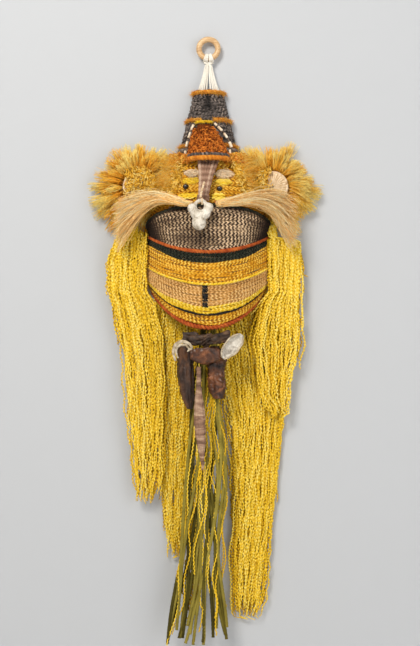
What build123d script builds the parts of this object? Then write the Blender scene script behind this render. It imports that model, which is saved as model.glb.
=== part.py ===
"""Hanging woven folk mask: ring, cone hat, woven face and chin bowl, ears, moustache, pods and yarn beard.

Millimetres. X is the mask's width, +Z is up, and the front faces -Y. The origin is the ring's centre.
"""

from math import hypot, sqrt
import os

from build123d import *

# The planes the mask is built on.
WALL_Y = 12.0
BACK_Y = 8.0

# Hanging ring and its cotton lashing.
RING_RADIUS = 20.75
RING_TUBE = 6.25
LOOP_TUBE = 1.9
LOOP_RADIUS = RING_TUBE + 0.08 + LOOP_TUBE
LOOP_STEP_DEG = 13.0
KNOT_ROW_RADIUS = 31.6
KNOT_ROW_TUBE = 2.6
GATHER_Z = -41.0
GATHER_RADIUS = 5.5
STRAND_TUBE = 1.8
STRAND_COUNT = 8

# Woven shells. A row is (height at the sides, height at the centre front, half width, depth, fullness).
# A fullness of 1 makes the row a half ellipse, and lower values draw it in towards a parabola.
WEAVE = 4.0
HAT_ROWS = [(-93, -93, 29, 24, 1.0), (-161, -161, 44, 37, 1.0), (-232, -232, 63, 53, 1.0)]
FACE_ROWS = [(-235, -235, 73, 58, 1.0), (-290, -290, 98, 76, 1.0), (-395, -347, 134, 103, 1.0)]
MOUTH_ROWS = [(-398, -355, 136, 106, 1.0), (-401, -401, 137, 117, 0.7), (-403, -447, 137, 119, 0.45)]
LIP_BAND_ROWS = [(-411, -456, 137, 119, 0.45), (-422, -474, 137, 118, 0.45)]
GOLD_ROWS = [(-422.6, -474.6, 137, 118, 0.45), (-448, -497, 138, 117, 0.45), (-474, -519, 138, 115, 0.45)]
TAN_ROWS = [(-474.6, -519.6, 138, 115, 0.45), (-490, -543, 137, 112, 0.45), (-505, -565, 135, 108, 0.45)]
YELLOW_ROWS = [(-505.6, -565.6, 135, 108, 0.45), (-511, -580, 133, 104, 0.45)]
ORANGE_ROWS = [(-516.4, -586.5, 131, 102, 0.45), (-524, -604, 126, 96, 0.45)]
LIP_CORD_ROW = (-407, -451.5, 138, 120, 0.45)
BLACK_CORD_ROW = (-513.7, -583.2, 133, 104, 0.45)
BORDER_CORD_ROW = (-531, -610.5, 123, 93, 0.45)
MOUTH_EDGE_ROW = (-396.5, -351, 137.5, 108.5, 1.0)
LIP_CORD_TUBE = 3.6
BLACK_CORD_TUBE = 2.2
BORDER_CORD_TUBE = 5.0
MOUTH_EDGE_TUBE = 1.3

# Fuzzy rings round the hat.
HAT_CORD_TUBE = 3.6
HAT_CORD_STANDOFF = 4.9

# Ears.
EAR_RADIUS = 33.0
EAR_FRONT_Y = -32.0
EAR_DEPTH = 12.0
EAR_Z = -305.0
LEFT_EAR_X = -152.0
RIGHT_EAR_X = 139.0
TUFT_RADIUS = 104.0

# Layers of hanging things, front of the layer then back of it.
TUFT_LAYER = (-16.0, 6.0)
OUTER_FRINGE_LAYER = (-25.0, -8.0)
INNER_FRINGE_LAYER = (-5.0, 8.0)
GREEN_LAYER = (-51.0, -38.0)
TASSEL_LAYER = (-36.0, -27.0)

os.makedirs("parts", exist_ok=True)


def save(part, label):
    """Name a finished piece and write it out."""
    part.label = label
    export_step(part, f"parts/{label}.step")


def row_plane(row):
    """The tilted plane a woven row lies in: its X runs across, its Y runs from the back plane to the front."""
    side_z, front_z, _, depth, _ = row
    return Plane(origin=(0, BACK_Y, side_z), x_dir=(1, 0, 0), z_dir=(0, side_z - front_z, -depth))


def row_length(row):
    """The distance from the back plane to the row's front, measured in its own plane."""
    side_z, front_z, _, depth, _ = row
    return hypot(depth, front_z - side_z)


def row_curve(half_width, length, fullness):
    """One row's outline from its left end over its front to its right end, inside the current line."""
    reach = 4 / 3 * length
    knee = fullness * half_width
    return Bezier((-half_width, 0), (-knee, reach), (knee, reach), (half_width, 0))


def row_arch(row, outward, thickness):
    """The arch-shaped section along one row, from a distance outward of the row, inward by the thickness."""
    half_width = row[2] + outward
    length = row_length(row) + outward
    with BuildSketch(row_plane(row)) as arch:
        with BuildLine():
            outside = row_curve(half_width, length, row[4])
            inside = row_curve(half_width - thickness, length - thickness, row[4])
            Line(outside @ 0, inside @ 0)
            Line(outside @ 1, inside @ 1)
        make_face()
    return arch.sketch


def woven_shell(rows, outward=0.0, thickness=WEAVE):
    """Loft an arch-shaped shell down through a list of rows, inside the current part."""
    loft([row_arch(row, outward, thickness) for row in rows])


def row_cord(row, tube, outward=0.0):
    """Sweep a round cord along one row, inside the current part."""
    plane = row_plane(row)
    half_width = row[2] + outward
    length = row_length(row) + outward
    with BuildLine(plane) as path:
        row_curve(half_width, length, row[4])
    with BuildSketch(Plane(origin=path.line @ 0, z_dir=path.line % 0)) as section:
        Circle(tube)
    sweep(section.sketch, path=path.line, is_frenet=True)


def row_at(rows, z):
    """The half width and depth of a shell at one height of its sides, between its rows."""
    for upper, lower in zip(rows, rows[1:]):
        if upper[0] >= z >= lower[0]:
            share = (upper[0] - z) / (upper[0] - lower[0])
            half_width = upper[2] + share * (lower[2] - upper[2])
            depth = upper[3] + share * (lower[3] - upper[3])
            return half_width, depth
    return rows[-1][2], rows[-1][3]


def surface_y(rows, x, z, standoff):
    """The Y of a place that stands off a level-rowed shell's outside, at one place across and one height."""
    half_width, depth = row_at(rows, z)
    return BACK_Y - (depth + standoff) * sqrt(1 - (x / (half_width + standoff)) ** 2)


def soft_slab(points, layer):
    """A soft curtain: an outline in X and Z filled through a layer of Y, inside the current part."""
    front, back = layer
    with BuildSketch(Plane(origin=(0, back, 0), x_dir=(1, 0, 0), z_dir=(0, -1, 0))) as curtain:
        with BuildLine():
            Polyline(*points, close=True)
        make_face()
    extrude(curtain.sketch, amount=back - front)


# Ring and lashing ---------------------------------------------------------------------------------

with BuildPart() as hanging_ring:
    Torus(RING_RADIUS, RING_TUBE, rotation=(90, 0, 0))
save(hanging_ring.part, "hanging_ring")

with BuildPart() as ring_lashing:
    for step in range(-2, 3):
        around = Location((0, 0, 0), (0, step * LOOP_STEP_DEG, 0))
        with Locations(around * Location((0, 0, -RING_RADIUS), (0, 90, 0))):
            Torus(LOOP_RADIUS, LOOP_TUBE)
    with BuildLine(Plane.XZ) as knot_row:
        CenterArc((0, 0), KNOT_ROW_RADIUS, 243, 54)
    with BuildSketch(Plane(origin=knot_row.line @ 0, z_dir=knot_row.line % 0)):
        Circle(KNOT_ROW_TUBE)
    sweep(path=knot_row.line)
save(ring_lashing.part, "ring_lashing")

with BuildPart() as hanging_cords:
    with Locations((0, 0, GATHER_Z)):
        Sphere(GATHER_RADIUS)
    for index in range(STRAND_COUNT):
        across = -1 + 2 * index / (STRAND_COUNT - 1)
        foot = (21 * across, BACK_Y - 3 - 14 * sqrt(1 - across**2), -104)
        with BuildLine() as strand:
            Spline((3 * across, 0, GATHER_Z), (10 * across, 0.4 * foot[1], -66), foot)
        with BuildSketch(Plane(origin=strand.line @ 0, z_dir=strand.line % 0)):
            Circle(STRAND_TUBE)
        sweep(path=strand.line)
save(hanging_cords.part, "hanging_cords")


# Hat ----------------------------------------------------------------------------------------------

with BuildPart() as hat_cone:
    woven_shell(HAT_ROWS)
save(hat_cone.part, "hat_cone")


def hat_ring(label, side_z, tube):
    """One fuzzy ring standing on the outside of the hat."""
    half_width, depth = row_at(HAT_ROWS, side_z)
    with BuildPart() as ring:
        row_cord((side_z, side_z, half_width, depth, 1.0), tube, HAT_CORD_STANDOFF)
    save(ring.part, label)


hat_ring("hat_top_cord", -98.0, HAT_CORD_TUBE)
hat_ring("hat_middle_cord", -160.0, HAT_CORD_TUBE)
hat_ring("hat_base_cord", -216.0, HAT_CORD_TUBE)
hat_ring("hat_dark_edge", -226.0, HAT_CORD_TUBE)


# Forehead flap ------------------------------------------------------------------------------------

FLAP_STATIONS = [(-172, -10, 15, 10, -37), (-205, -5, 27, 19, -51.5), (-241, 0, 38, 26, -58.5)]
FLAP_CORD_STATIONS = [(-164, -10, 15, 10, -39.5), (-171.5, -10, 15, 10, -39)]
FLAP_DARK_STATIONS = [(-241.5, 0, 39, 27, -58.5), (-245.5, 0, 39.5, 28, -59.5)]
FLAP_HEM_STATIONS = [(-246, 0, 40, 29, -59.5), (-255, 0, 41, 30, -60.5)]


def flap_shell(label, stations, thickness):
    """A half cone forward of the hat: each station is (height, centre x, half width, depth, back y)."""
    with BuildPart() as shell:
        for z, centre_x, half_width, depth, back in stations:
            with BuildSketch(Plane(origin=(centre_x, back, z), x_dir=(1, 0, 0), z_dir=(0, 0, -1))):
                Ellipse(half_width, depth)
                Ellipse(half_width - thickness, depth - thickness, mode=Mode.SUBTRACT)
                Rectangle(2 * half_width, depth, align=(Align.CENTER, Align.MIN), mode=Mode.INTERSECT)
        loft()
    save(shell.part, label)


flap_shell("forehead_flap", FLAP_STATIONS, 6.0)
flap_shell("flap_top_cord", FLAP_CORD_STATIONS, 6.0)
flap_shell("flap_dark_hem", FLAP_DARK_STATIONS, 7.0)
flap_shell("flap_hem_cord", FLAP_HEM_STATIONS, 8.0)


# Bead strings -------------------------------------------------------------------------------------

BEAD_LENGTH = 13.0
BEAD_RADIUS = 2.7
BEAD_BORE = 0.9
THREAD_RADIUS = 0.6
BEAD_STANDOFF = 16.0
LEFT_STRING = [(-31, -170), (-38, -187), (-44, -204), (-49, -226), (-51, -246)]
RIGHT_STRING = [(12, -170), (19, -176), (31, -188), (43, -205), (52, -227)]
RIGHT_DROP = [(46, -226), (47, -242)]


def string_points(line):
    """The places of a bead string in front of the hat, from its line across the hat."""
    return [Vector(x, surface_y(HAT_ROWS, x, z, BEAD_STANDOFF), z) for x, z in line]


def bead(start, end):
    """One tubular bead lying between two places of its string."""
    axis = (end - start).normalized()
    middle = (start + end) * 0.5
    length = min(BEAD_LENGTH, (end - start).length - 2)
    with BuildSketch(Plane(origin=middle - axis * (length / 2), z_dir=axis)) as section:
        Circle(BEAD_RADIUS)
        Circle(BEAD_BORE, mode=Mode.SUBTRACT)
    extrude(section.sketch, amount=length)


def thread(points):
    """The thread that a string of beads runs on, straight through each bead and bent between them."""
    for start, end in zip(points, points[1:]):
        with BuildSketch(Plane(origin=start, z_dir=end - start)) as section:
            Circle(THREAD_RADIUS)
        extrude(section.sketch, amount=(end - start).length)
        with Locations(end):
            Sphere(THREAD_RADIUS)


def bead_string(side, lines):
    """A side's beads and the thread through them."""
    with BuildPart() as beads:
        for line in lines:
            points = string_points(line)
            for start, end in zip(points, points[1:]):
                bead(start, end)
    save(beads.part, f"bead_string_{side}")
    with BuildPart() as threads:
        for line in lines:
            thread(string_points(line))
    save(threads.part, f"bead_thread_{side}")


bead_string("left", [LEFT_STRING])
bead_string("right", [RIGHT_STRING, RIGHT_DROP])


# Face ---------------------------------------------------------------------------------------------

with BuildPart() as face_panel:
    woven_shell(FACE_ROWS)
save(face_panel.part, "face_panel")

PATCH_LIFT = 2.8
PATCH_THICKNESS = 2.4


def face_patches(label, outlines):
    """Stitched patches: the places of a thin skin just outside the face that lie behind the outlines."""
    with BuildPart() as patches:
        woven_shell(FACE_ROWS, PATCH_LIFT, PATCH_THICKNESS)
        with BuildSketch(Plane(origin=(0, -20, 0), x_dir=(1, 0, 0), z_dir=(0, -1, 0))):
            for x, z, half_width, half_height in outlines:
                with Locations((x, z)):
                    Ellipse(half_width, half_height)
        extrude(amount=110, mode=Mode.INTERSECT)
    save(patches.part, label)


face_patches("brow_patches", [(-35, -279, 17, 8), (34, -281, 20, 9)])
face_patches("eyelid_patches", [(-37, -296.5, 18, 7), (32, -299, 17, 7)])
face_patches("lower_eye_patches", [(-43, -331, 22, 6.5), (21, -333, 15, 8)])
face_patches("cheek_patches", [(-50, -345, 17, 5.5), (21, -348, 9, 5)])

EYE_RADIUS = 7.0
EYE_STANDOFF = 8.4
EYE_PLACES = [(-48.5, -310.5), (23.5, -316)]

with BuildPart() as eyes:
    for eye_x, eye_z in EYE_PLACES:
        with Locations((eye_x, surface_y(FACE_ROWS, eye_x, eye_z, EYE_STANDOFF), eye_z)):
            Sphere(EYE_RADIUS)
save(eyes.part, "eyes")

NOSE_TOP_Z = -258.0
NOSE_TIP = (-11.0, -112.0, -336.0)
NOSE_CORDS = 5

with BuildPart() as nose_cords:
    for index in range(NOSE_CORDS):
        across = index - (NOSE_CORDS - 1) / 2
        top = Vector(9.6 * across, -64.5, NOSE_TOP_Z)
        foot = Vector(NOSE_TIP[0] + 5.0 * across, NOSE_TIP[1] + 4, NOSE_TIP[2])
        for place, radius in ((top, 4.3), (foot, 3.0)):
            with BuildSketch(Plane(origin=place, z_dir=foot - top)):
                Circle(radius)
        loft()
    with Locations(NOSE_TIP):
        Sphere(9.0)
save(nose_cords.part, "nose_cords")


def cheek_pile(label, side):
    """Looped pile over one cheek, standing on the face."""
    with BuildPart() as pile:
        woven_shell(FACE_ROWS, 13.0, 9.5)
        with Locations((side * 79, -78, -285)):
            Box(38, 120, 96, mode=Mode.INTERSECT)
    save(pile.part, label)


cheek_pile("cheek_pile_left", -1)
cheek_pile("cheek_pile_right", 1)


# Mouth and chin -----------------------------------------------------------------------------------


def band(label, rows):
    """One woven band of the mouth and chin bowl."""
    with BuildPart() as shell:
        woven_shell(rows)
    save(shell.part, label)


def bowl_cord(label, row, tube):
    """One cord laid between two bands of the bowl."""
    with BuildPart() as cord:
        row_cord(row, tube, -WEAVE / 2)
    save(cord.part, label)


band("mouth_panel", MOUTH_ROWS)
band("lip_band", LIP_BAND_ROWS)
band("chin_gold_band", GOLD_ROWS)
band("chin_tan_band", TAN_ROWS)
band("chin_yellow_band", YELLOW_ROWS)
band("chin_orange_band", ORANGE_ROWS)
bowl_cord("mouth_edge_cord", MOUTH_EDGE_ROW, MOUTH_EDGE_TUBE)
bowl_cord("lip_cord", LIP_CORD_ROW, LIP_CORD_TUBE)
bowl_cord("chin_black_cord", BLACK_CORD_ROW, BLACK_CORD_TUBE)
bowl_cord("chin_border_cord", BORDER_CORD_ROW, BORDER_CORD_TUBE)

with BuildPart() as chin_mark:
    woven_shell(TAN_ROWS, 2.6, 2.2)
    with Locations((-7, -110, -543)):
        Box(11, 60, 38, mode=Mode.INTERSECT)
save(chin_mark.part, "chin_mark")


# Cane frame inside --------------------------------------------------------------------------------

HOOP_TUBE = 4.0
HOOP_Y = 1.0
HOOP_HALF = [(0, -252), (52, -258), (84, -300), (108, -365), (122, -430), (118, -500), (92, -538), (0, -562)]
SPREADER_THICKNESS = 3.4
SPREADER_HEIGHT = 22.0
UPPER_SPREADER = (-152.0, 139.0, -305.0)
LOWER_SPREADER = (-132.0, 132.0, -470.0)
TIE_WIDTH = 7.0

with BuildPart() as cane_hoop:
    other_half = [(-x, z) for x, z in reversed(HOOP_HALF[1:-1])]
    with BuildLine() as hoop_path:
        Spline(*[(x, HOOP_Y, z) for x, z in HOOP_HALF + other_half], periodic=True)
    with BuildSketch(Plane(origin=hoop_path.line @ 0, z_dir=hoop_path.line % 0)):
        Circle(HOOP_TUBE)
    sweep(path=hoop_path.line)
save(cane_hoop.part, "cane_hoop")


def spreader(label, left, right, z):
    """A flat split-cane slat across the back, resting on the wall."""
    with BuildPart() as slat:
        with Locations(((left + right) / 2, WALL_Y - SPREADER_THICKNESS / 2, z)):
            Box(right - left, SPREADER_THICKNESS, SPREADER_HEIGHT)
        fillet(slat.edges().filter_by(Axis.Y), 6)
    save(slat.part, label)


spreader("back_spreader_upper", *UPPER_SPREADER)
spreader("back_spreader_lower", *LOWER_SPREADER)


# Ears ---------------------------------------------------------------------------------------------


def ear_disc(label, x):
    """A woven cup with a thick rolled rim and a dished face."""
    with BuildPart() as disc:
        with BuildSketch(Plane(origin=(x, 0, EAR_Z), x_dir=(1, 0, 0), z_dir=(0, 0, 1))):
            with BuildLine():
                Polyline(
                    (0, EAR_FRONT_Y + 7),
                    (EAR_RADIUS - 10, EAR_FRONT_Y + 4),
                    (EAR_RADIUS - 5, EAR_FRONT_Y),
                    (EAR_RADIUS, EAR_FRONT_Y + 5),
                    (EAR_RADIUS - 4, EAR_FRONT_Y + EAR_DEPTH),
                    (0, EAR_FRONT_Y + EAR_DEPTH + 2),
                    close=True,
                )
            make_face()
        revolve(axis=Axis((x, 0, EAR_Z), (0, 1, 0)))
    save(disc.part, label)


def face_edge(side):
    """The outside edge of the woven face and bowl on one side, with a small clearance."""
    edge = [(0, -140), (84, -226), (107, -290), (142, -392), (143, -480), (137, -520), (0, -560)]
    return [(side * x, z) for x, z in edge]


def ear_tuft(label, side, x):
    """The ring of sisal round one ear, cut away where the face is."""
    front, back = TUFT_LAYER
    with BuildPart() as tuft:
        with BuildSketch(Plane(origin=(0, back, 0), x_dir=(1, 0, 0), z_dir=(0, -1, 0))):
            with Locations((x, EAR_Z)):
                Circle(TUFT_RADIUS)
            with BuildLine():
                Polyline(*face_edge(side), close=True)
            make_face(mode=Mode.SUBTRACT)
        extrude(amount=back - front)
    save(tuft.part, label)


ear_disc("ear_disc_left", LEFT_EAR_X)
ear_disc("ear_disc_right", RIGHT_EAR_X)
ear_tuft("ear_tuft_left", -1, LEFT_EAR_X)
ear_tuft("ear_tuft_right", 1, RIGHT_EAR_X)


# Moustache ----------------------------------------------------------------------------------------

LEFT_HANK = [
    (-30, -116, -351, 7),
    (-62, -109, -346, 11),
    (-105, -88, -336, 15),
    (-150, -66, -348, 24),
    (-190, -58, -385, 30),
    (-214, -55, -432, 25),
]
RIGHT_HANK = [
    (14, -122, -352, 7),
    (50, -114, -346, 11),
    (96, -94, -338, 15),
    (142, -68, -345, 24),
    (178, -58, -378, 30),
    (202, -55, -428, 25),
]
HANK_FLATNESS = 0.6


def moustache(label, stations):
    """A hank of loose fibre, wider and flatter towards its tip."""
    places = [Vector(x, y, z) for x, y, z, _ in stations]
    with BuildPart() as hank:
        for index, (place, station) in enumerate(zip(places, stations)):
            after = places[min(index + 1, len(places) - 1)]
            before = places[max(index - 1, 0)]
            along = (after - before).normalized()
            forward = Vector(0, -1, 0)
            with BuildSketch(Plane(origin=place, x_dir=along.cross(forward), z_dir=along)):
                Ellipse(station[3], station[3] * HANK_FLATNESS)
        loft()
    save(hank.part, label)


moustache("moustache_left", LEFT_HANK)
moustache("moustache_right", RIGHT_HANK)


# Nose pendant -------------------------------------------------------------------------------------

PENDANT_X = -16.5
PENDANT_Y = -133.0
PENDANT_EYE_Z = -358.0
PENDANT_EYE_RADIUS = 12.0
PENDANT_BAR = 3.8
CORD_RADIUS = 1.7
CORD_TOP = (-10.0, -126.0, -312.0)
BAR_Z = PENDANT_EYE_Z + PENDANT_EYE_RADIUS

with BuildPart() as pendant_cord:
    with Locations(Location((PENDANT_X, PENDANT_Y, BAR_Z), (0, 90, 0))):
        Torus(PENDANT_BAR + 0.08 + CORD_RADIUS, CORD_RADIUS)
    loop_top = (PENDANT_X, PENDANT_Y, BAR_Z + PENDANT_BAR + CORD_RADIUS)
    with BuildLine() as cord_path:
        Spline(loop_top, (PENDANT_X + 2, PENDANT_Y + 2, BAR_Z + 17), CORD_TOP)
    with BuildSketch(Plane(origin=cord_path.line @ 0, z_dir=cord_path.line % 0)):
        Circle(CORD_RADIUS)
    sweep(path=cord_path.line)
save(pendant_cord.part, "pendant_cord")

PENDANT_LUMPS = [(-17, -4, 9.5), (17, -3, 9.5), (-10, -15, 10), (10, -15, 10), (-2, -24, 12.5), (-3, -35, 14)]
PENDANT_PITS = [(-20, -2, 3), (12, -12, 2.5), (-7, -27, 3), (2, -40, 2.5), (-10, -38, 2)]
PENDANT_THICKNESS = 9.0

with BuildPart() as nose_pendant:
    with Locations((PENDANT_X, PENDANT_Y, PENDANT_EYE_Z)):
        Torus(PENDANT_EYE_RADIUS, PENDANT_BAR, rotation=(90, 0, 0))
    for lump_x, lump_z, lump_radius in PENDANT_LUMPS:
        with Locations((PENDANT_X + lump_x, PENDANT_Y, PENDANT_EYE_Z + lump_z)):
            Sphere(lump_radius)
    for pit_x, pit_z, pit_radius in PENDANT_PITS:
        with Locations((PENDANT_X + pit_x, PENDANT_Y - PENDANT_THICKNESS - 1, PENDANT_EYE_Z + pit_z)):
            Sphere(pit_radius, mode=Mode.SUBTRACT)
save(nose_pendant.part, "nose_pendant")


# Beard --------------------------------------------------------------------------------------------


def fringe(label, outline, layer):
    """One hanging curtain of yarn."""
    with BuildPart() as curtain:
        soft_slab(outline, layer)
    save(curtain.part, label)


fringe(
    "fringe_left_outer",
    [
        (-216, -414),
        (-221, -470),
        (-214, -528),
        (-200, -592),
        (-186, -660),
        (-172, -814),
        (-164, -924),
        (-152, -995),
        (-120, -995),
        (-106, -930),
        (-101, -748),
        (-108, -640),
        (-126, -560),
        (-144, -530),
        (-144, -414),
    ],
    OUTER_FRINGE_LAYER,
)
fringe(
    "fringe_left_inner",
    [
        (-108, -590),
        (-97, -946),
        (-89, -1055),
        (-79, -1117),
        (-60, -1110),
        (-42, -990),
        (-30, -858),
        (-20, -726),
        (-14, -590),
    ],
    INNER_FRINGE_LAYER,
)
fringe(
    "fringe_right_outer",
    [
        (206, -420),
        (199, -510),
        (198, -600),
        (200, -650),
        (184, -709),
        (170, -797),
        (146, -812),
        (122, -760),
        (110, -640),
        (126, -560),
        (144, -530),
        (144, -414),
    ],
    OUTER_FRINGE_LAYER,
)
fringe(
    "fringe_right_inner",
    [
        (18, -590),
        (34, -678),
        (52, -810),
        (58, -942),
        (50, -1119),
        (56, -1250),
        (108, -1252),
        (120, -1207),
        (133, -1075),
        (148, -942),
        (163, -810),
        (164, -650),
        (140, -590),
    ],
    INNER_FRINGE_LAYER,
)
fringe(
    "green_cords",
    [
        (-12, -622),
        (-22, -760),
        (-36, -920),
        (-72, -1180),
        (-92, -1290),
        (-86, -1304),
        (36, -1304),
        (44, -1284),
        (34, -1100),
        (30, -900),
        (14, -622),
    ],
    GREEN_LAYER,
)
fringe(
    "centre_tassel",
    [(-34, -1010), (-56, -1180), (-50, -1240), (-22, -1244), (-16, -1180), (-26, -1010)],
    TASSEL_LAYER,
)


# Pods ---------------------------------------------------------------------------------------------

with BuildPart() as pod_tie:
    with BuildLine() as tie_path:
        Spline((-52, -66, -630), (-24, -80, -632), (0, -84, -634), (22, -80, -632), (42, -66, -628))
    with BuildSketch(Plane(origin=tie_path.line @ 0, z_dir=tie_path.line % 0)):
        Ellipse(8, 7)
    sweep(path=tie_path.line)
save(pod_tie.part, "pod_tie")


def pod(label, stations, back, forward_share):
    """A curled open pod hanging down: each station is (height, centre x, half width). Its back is open."""
    with BuildPart() as husk:
        for z, centre_x, half_width in stations:
            with BuildSketch(Plane(origin=(centre_x, back, z), x_dir=(1, 0, 0), z_dir=(0, 0, -1))):
                Ellipse(half_width, half_width * forward_share)
                Ellipse(half_width - 1.8, half_width * forward_share - 1.8, mode=Mode.SUBTRACT)
                Rectangle(4 * half_width, 4 * half_width, align=(Align.CENTER, Align.MIN), mode=Mode.INTERSECT)
        loft()
    save(husk.part, label)


pod("pod_dark", [(-645, -52, 15), (-700, -51, 16), (-760, -48, 15), (-784, -44, 9)], -62, 1.0)
pod(
    "pod_slender",
    [(-693, -20, 5), (-760, -20, 8), (-810, -18, 10), (-860, -15, 8), (-912, -12, 3)],
    -91,
    1.0,
)
pod("pod_crumpled", [(-650, 14, 10), (-700, 16, 18), (-740, 19, 17), (-762, 22, 9)], -60, 0.9)

HALF_TUBE = (-38.0, -92.0, -663.0)
HALF_TUBE_LENGTH = 61.0
HALF_TUBE_WALL = 2.4

with BuildPart() as pod_half_tube:
    with BuildSketch(Plane(origin=HALF_TUBE, x_dir=(0, 0, 1), z_dir=(1, 0, 0))):
        Ellipse(24, 15)
        Ellipse(24 - HALF_TUBE_WALL, 15 - HALF_TUBE_WALL, mode=Mode.SUBTRACT)
        with Locations((15, 0)):
            Rectangle(30, 40, mode=Mode.SUBTRACT)
    extrude(amount=HALF_TUBE_LENGTH)
save(pod_half_tube.part, "pod_half_tube")

SHELL_LENGTH = 66.0
SHELL_WIDTH = 27.0
SHELL_WALL = 2.2

with BuildPart() as pod_shell:
    hull = Plane(origin=(50, -92, -650), x_dir=(0.64, 0, 0.77), z_dir=(0, -1, 0))
    with BuildSketch(hull):
        with BuildLine():
            EllipticalCenterArc((0, 0), SHELL_LENGTH / 2, SHELL_WIDTH / 2, 0, arc_size=180)
            Line((-SHELL_LENGTH / 2, 0), (SHELL_LENGTH / 2, 0))
        make_face()
        with BuildLine():
            EllipticalCenterArc((0, 0), SHELL_LENGTH / 2 - SHELL_WALL, SHELL_WIDTH / 2 - SHELL_WALL, 0, arc_size=180)
            Line((-SHELL_LENGTH / 2 + SHELL_WALL, 0), (SHELL_LENGTH / 2 - SHELL_WALL, 0))
        make_face(mode=Mode.SUBTRACT)
    revolve(axis=Axis((50, -92, -650), (-0.64, 0, -0.77)), revolution_arc=180)
save(pod_shell.part, "pod_shell")
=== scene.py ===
"""Looks of the hanging woven folk mask.

Metres, in the CAD part's frame: front towards -Y, up is +Z, origin at the middle of the ring.
"""
import math

import bpy
import numpy as np
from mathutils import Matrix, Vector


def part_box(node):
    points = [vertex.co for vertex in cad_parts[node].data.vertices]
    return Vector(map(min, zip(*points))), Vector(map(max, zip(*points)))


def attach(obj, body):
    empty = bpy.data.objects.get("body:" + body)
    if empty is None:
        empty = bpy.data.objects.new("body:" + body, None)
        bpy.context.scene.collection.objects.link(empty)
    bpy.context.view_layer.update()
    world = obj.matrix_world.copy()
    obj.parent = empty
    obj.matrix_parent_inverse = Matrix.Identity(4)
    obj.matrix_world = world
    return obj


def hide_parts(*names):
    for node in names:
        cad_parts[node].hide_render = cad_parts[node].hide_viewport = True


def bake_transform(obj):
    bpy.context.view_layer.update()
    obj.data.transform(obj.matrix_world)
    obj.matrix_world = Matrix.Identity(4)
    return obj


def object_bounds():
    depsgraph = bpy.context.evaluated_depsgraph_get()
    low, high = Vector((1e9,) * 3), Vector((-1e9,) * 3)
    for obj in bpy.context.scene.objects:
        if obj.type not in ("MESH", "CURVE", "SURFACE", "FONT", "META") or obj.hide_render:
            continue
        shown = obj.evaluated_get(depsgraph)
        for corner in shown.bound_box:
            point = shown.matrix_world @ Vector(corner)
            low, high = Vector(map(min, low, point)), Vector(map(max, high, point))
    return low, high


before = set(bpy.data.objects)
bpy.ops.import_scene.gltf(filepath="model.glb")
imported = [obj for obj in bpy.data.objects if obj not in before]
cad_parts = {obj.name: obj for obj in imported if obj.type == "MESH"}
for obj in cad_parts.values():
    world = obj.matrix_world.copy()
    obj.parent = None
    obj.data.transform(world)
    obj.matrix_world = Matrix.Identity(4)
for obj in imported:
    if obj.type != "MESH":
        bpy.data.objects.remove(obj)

cad_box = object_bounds()

MM = 0.001
FULL_TURN = 2 * math.pi
ACROSS, BACKWARD, UP = np.eye(3)
WALL_Y = cad_box[1][1]  # no loose fibre goes further back than the CAD part does


# Geometry helpers ---------------------------------------------------------------------------------


def unit(vectors):
    """Vectors scaled to length one."""
    return vectors / np.maximum(np.linalg.norm(vectors, axis=-1, keepdims=True), 1e-12)


def corners(node):
    """The low and high corners of a CAD node as arrays."""
    low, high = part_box(node)
    return np.array(low), np.array(high)


def node_slice(node, axis, value):
    """The points where a CAD node's edges cross the plane that holds one axis at a value."""
    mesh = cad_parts[node].data
    places = np.array([vertex.co for vertex in mesh.vertices])
    ends = places[np.array([edge.vertices[:] for edge in mesh.edges])]
    offset = ends[:, :, axis] - value
    crossing = offset[:, 0] * offset[:, 1] < 0
    start, finish = ends[crossing, 0], ends[crossing, 1]
    share = (offset[crossing, 0] / (offset[crossing, 0] - offset[crossing, 1]))[:, None]
    return start + share * (finish - start)


def islands(node):
    """The separate solids of a CAD node, each as its points."""
    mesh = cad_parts[node].data
    places = np.array([vertex.co for vertex in mesh.vertices])
    _, group = np.unique(np.round(places, 6), axis=0, return_inverse=True)
    group = group.ravel()
    faces = [group[list(face.vertices)] for face in mesh.polygons]
    label = np.arange(group.max() + 1)
    changed = True
    while changed:
        before = label.copy()
        for face in faces:
            label[face] = label[face].min()
        changed = bool((label != before).any())
    return [places[label[group] == value] for value in np.unique(label)]


def noise(points, scale, seed):
    """Smooth noise between about -1 and 1 at an array of places, from a few seeded waves."""
    rng = np.random.default_rng(seed)
    total = np.zeros(points.shape[:-1])
    for octave in range(3):
        for _ in range(4):
            direction = unit(rng.normal(size=3))
            phase = rng.uniform(0, FULL_TURN)
            wave = FULL_TURN * 2**octave / scale
            total += np.sin(points @ direction * wave + phase) / 2**octave
    return total / 4


def resample(points, count):
    """A smooth path of a given number of places through a few control points."""
    points = np.asarray(points, float)
    padded = np.vstack([2 * points[0] - points[1], points, 2 * points[-1] - points[-2]])
    share = np.linspace(0, len(points) - 1, count)
    index = np.minimum(share.astype(int), len(points) - 2)
    t = (share - index)[:, None]
    a, b, c, d = (padded[index + step] for step in range(4))
    return 0.5 * (2 * b + (c - a) * t + (2 * a - 5 * b + 4 * c - d) * t**2 + (3 * b - a - 3 * c + d) * t**3)


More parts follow.
